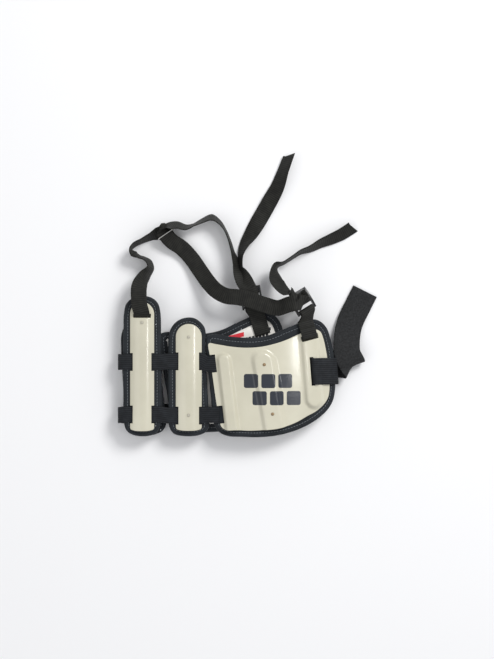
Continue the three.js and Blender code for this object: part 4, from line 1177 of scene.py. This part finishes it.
def route_frames(route):
    """Frames from x, y, height and lean: the width's rise from level, in degrees."""
    frames = []
    for i, (x, y, z, lean) in enumerate(route):
        before = route[max(i - 1, 0)]
        after = route[min(i + 1, len(route) - 1)]
        side = Vector((before[1] - after[1], after[0] - before[0], 0)).normalized()
        rise = math.radians(lean)
        frames.append((Vector((x, y, z)), side * math.cos(rise) + Vector((0, 0, math.sin(rise)))))
    return frames


def same_way(frames):
    """The frames with no width direction turned over from the one before it."""
    out = [frames[0]]
    for at, across in frames[1:]:
        out.append((at, -across if across.dot(out[-1][1]) < 0 else across))
    return out


round_bar = buckle_bar / 2 + clearance + webbing_thickness / 2 + 0.4
level = (1, 0, 0)


def back_strap():
    """From under the back shell, up through its slot and over the table to the ring's lower bar."""
    slot_y = 0.357 * back_size[1]
    under = foam_top + webbing_thickness / 2 + clearance
    over = foam_top + narrow_arch + shell_wall + clearance + webbing_thickness / 2
    anchored = [(0, slot_y - 7, under), (0, slot_y - 3.4, under + 0.5)]
    anchored += [(0, slot_y, (under + over) / 2 + 0.8), (-0.6, slot_y + 5, over + 1.2)]
    frames = [in_axes(back_at, p, level) for p in anchored] + route_frames(back_route)
    end = [(0, 7, -2.2), (0, 2, -1.6), (0, -2, -1.8), (0, -4.6, -5.4), (0, -2.2, -8.8), (0, 4, -9.4)]
    frames += [in_axes(ring_at, p, level) for p in end]
    strap("back_strap", same_way(frames), webbing_width, webbing_thickness, ribbed_webbing, "webbing")


def round_middle_bar(at, down, up):
    """Down through a buckle, under its middle bar and up again."""
    y = middle_bar_y
    places = [(0, y - round_bar, down), (0, y - round_bar, 0), (0, y, -round_bar)]
    places += [(0, y + round_bar, 0), (0, y + round_bar + 0.6, up)]
    return [in_axes(at, p, level) for p in places]


def shoulder_strap():
    """One length from its left tail through the left buckle, the ring and the right buckle."""
    through_ring = [in_axes(ring_at, (4, 8, 5), (0.8, 0, -0.6)), in_axes(ring_at, (0, 4.4, 2), level)]
    through_ring += [in_axes(ring_at, p, level) for p in ((0, 0, 1.4), (0, -4, 1.2))]
    left_bar = [in_axes(left_buckle_at, (0, 9, 6.8), level)]
    left_bar += round_middle_bar(left_buckle_at, 3.6, 4.4)[::-1]
    left_bar += [in_axes(left_buckle_at, (0, -1, 9.6), level)]
    into_bar = [((-25, 7, 13), (0.3, 0.95, 0)), ((-13, 3, 18), (0.5, 0.85, 0))]
    into_bar.append(((-2, -3.6, 12), (0.96, 0.28, 0)))
    out_of_bar = [((-0.6, 6, 10), (0.96, -0.28, 0)), ((-4, 13, 14), (0.8, -0.6, 0))]
    out_of_bar.append(((-16, 20, 15), (0.6, -0.8, 0)))
    right_bar = [in_axes(right_buckle_at, p, across) for p, across in into_bar]
    right_bar += round_middle_bar(right_buckle_at, 5.4, 5.6)
    right_bar += [in_axes(right_buckle_at, p, across) for p, across in out_of_bar]
    frames = route_frames(left_tail_route) + left_bar + route_frames(left_run_route) + through_ring
    frames += route_frames(right_run_route) + right_bar + route_frames(right_tail_route)
    cut_ends = (-6, 4)
    size = (webbing_width, webbing_thickness)
    strap("shoulder_strap", same_way(frames), *size, ribbed_webbing, "webbing", cut_ends)


def front_tab(name, at, buckle_at, arch, facing):
    """Out of a front shell's slot, over the rim, round the buckle's bar and back onto the lining."""
    lean = Vector((-math.sin(tab_turn), math.cos(tab_turn)))
    slope = 2 * arch * tab_x / (front_size[0] / 2) ** 2
    across = (math.cos(tab_turn), math.sin(tab_turn), -slope)
    half = webbing_thickness / 2
    ground = foam_top + arched(arch, front_size)(tab_x, 0)
    on_rib = ground + rib_height_and_wall + half + clearance
    rim = 0.47 * front_size[1] - tab_y
    inner = ground - foam_top - 1 - 2 * clearance - half

    def on_panel(run, z):
        return in_axes(at, (tab_x + lean.x * run, tab_y + lean.y * run, z), across)

    def on_buckle(dy, z):
        return in_axes(buckle_at, (0, tab_bar_y + dy, z), level)

    def halfway(z, side):
        rim_at, rim_across = on_panel(rim + 3, z)
        end_at, end_across = on_buckle(-4.8, side * round_bar)
        return rim_at.lerp(end_at, 0.4), rim_across.lerp(end_across, 0.6).normalized()

    outer = ground + half + 2.6
    frames = [
        on_panel(-8, ground + half + 0.1), on_panel(-5.4, ground + half),
        on_panel(-0.9, ground + rib_height - 1.6), on_panel(0.9, on_rib - clearance),
        on_panel(5, on_rib), on_panel(13, on_rib), on_panel(19, ground + shell_wall + half + 2.4),
        on_panel(rim + 3, outer), halfway(outer, facing),
        on_buckle(-4.8, facing * round_bar), on_buckle(0.4, facing * round_bar),
        on_buckle(round_bar, 0),
        on_buckle(0.4, -facing * round_bar), on_buckle(-4.8, -facing * round_bar),
        halfway(inner - 2.4, -facing), on_panel(rim + 3, inner - 2.4), on_panel(rim - 6, inner - 1.2),
        on_panel(rim - 18, inner - 1), on_panel(rim - 30, inner - 0.7),
    ]
    strap(name, frames, webbing_width, webbing_thickness, ribbed_webbing, "webbing", skewed=True)


back_strap()
shoulder_strap()
front_tab("right_tab", right_front_at, right_buckle_at, front_arch, 1)
front_tab("left_tab", left_front_at, left_buckle_at, 0, -1)
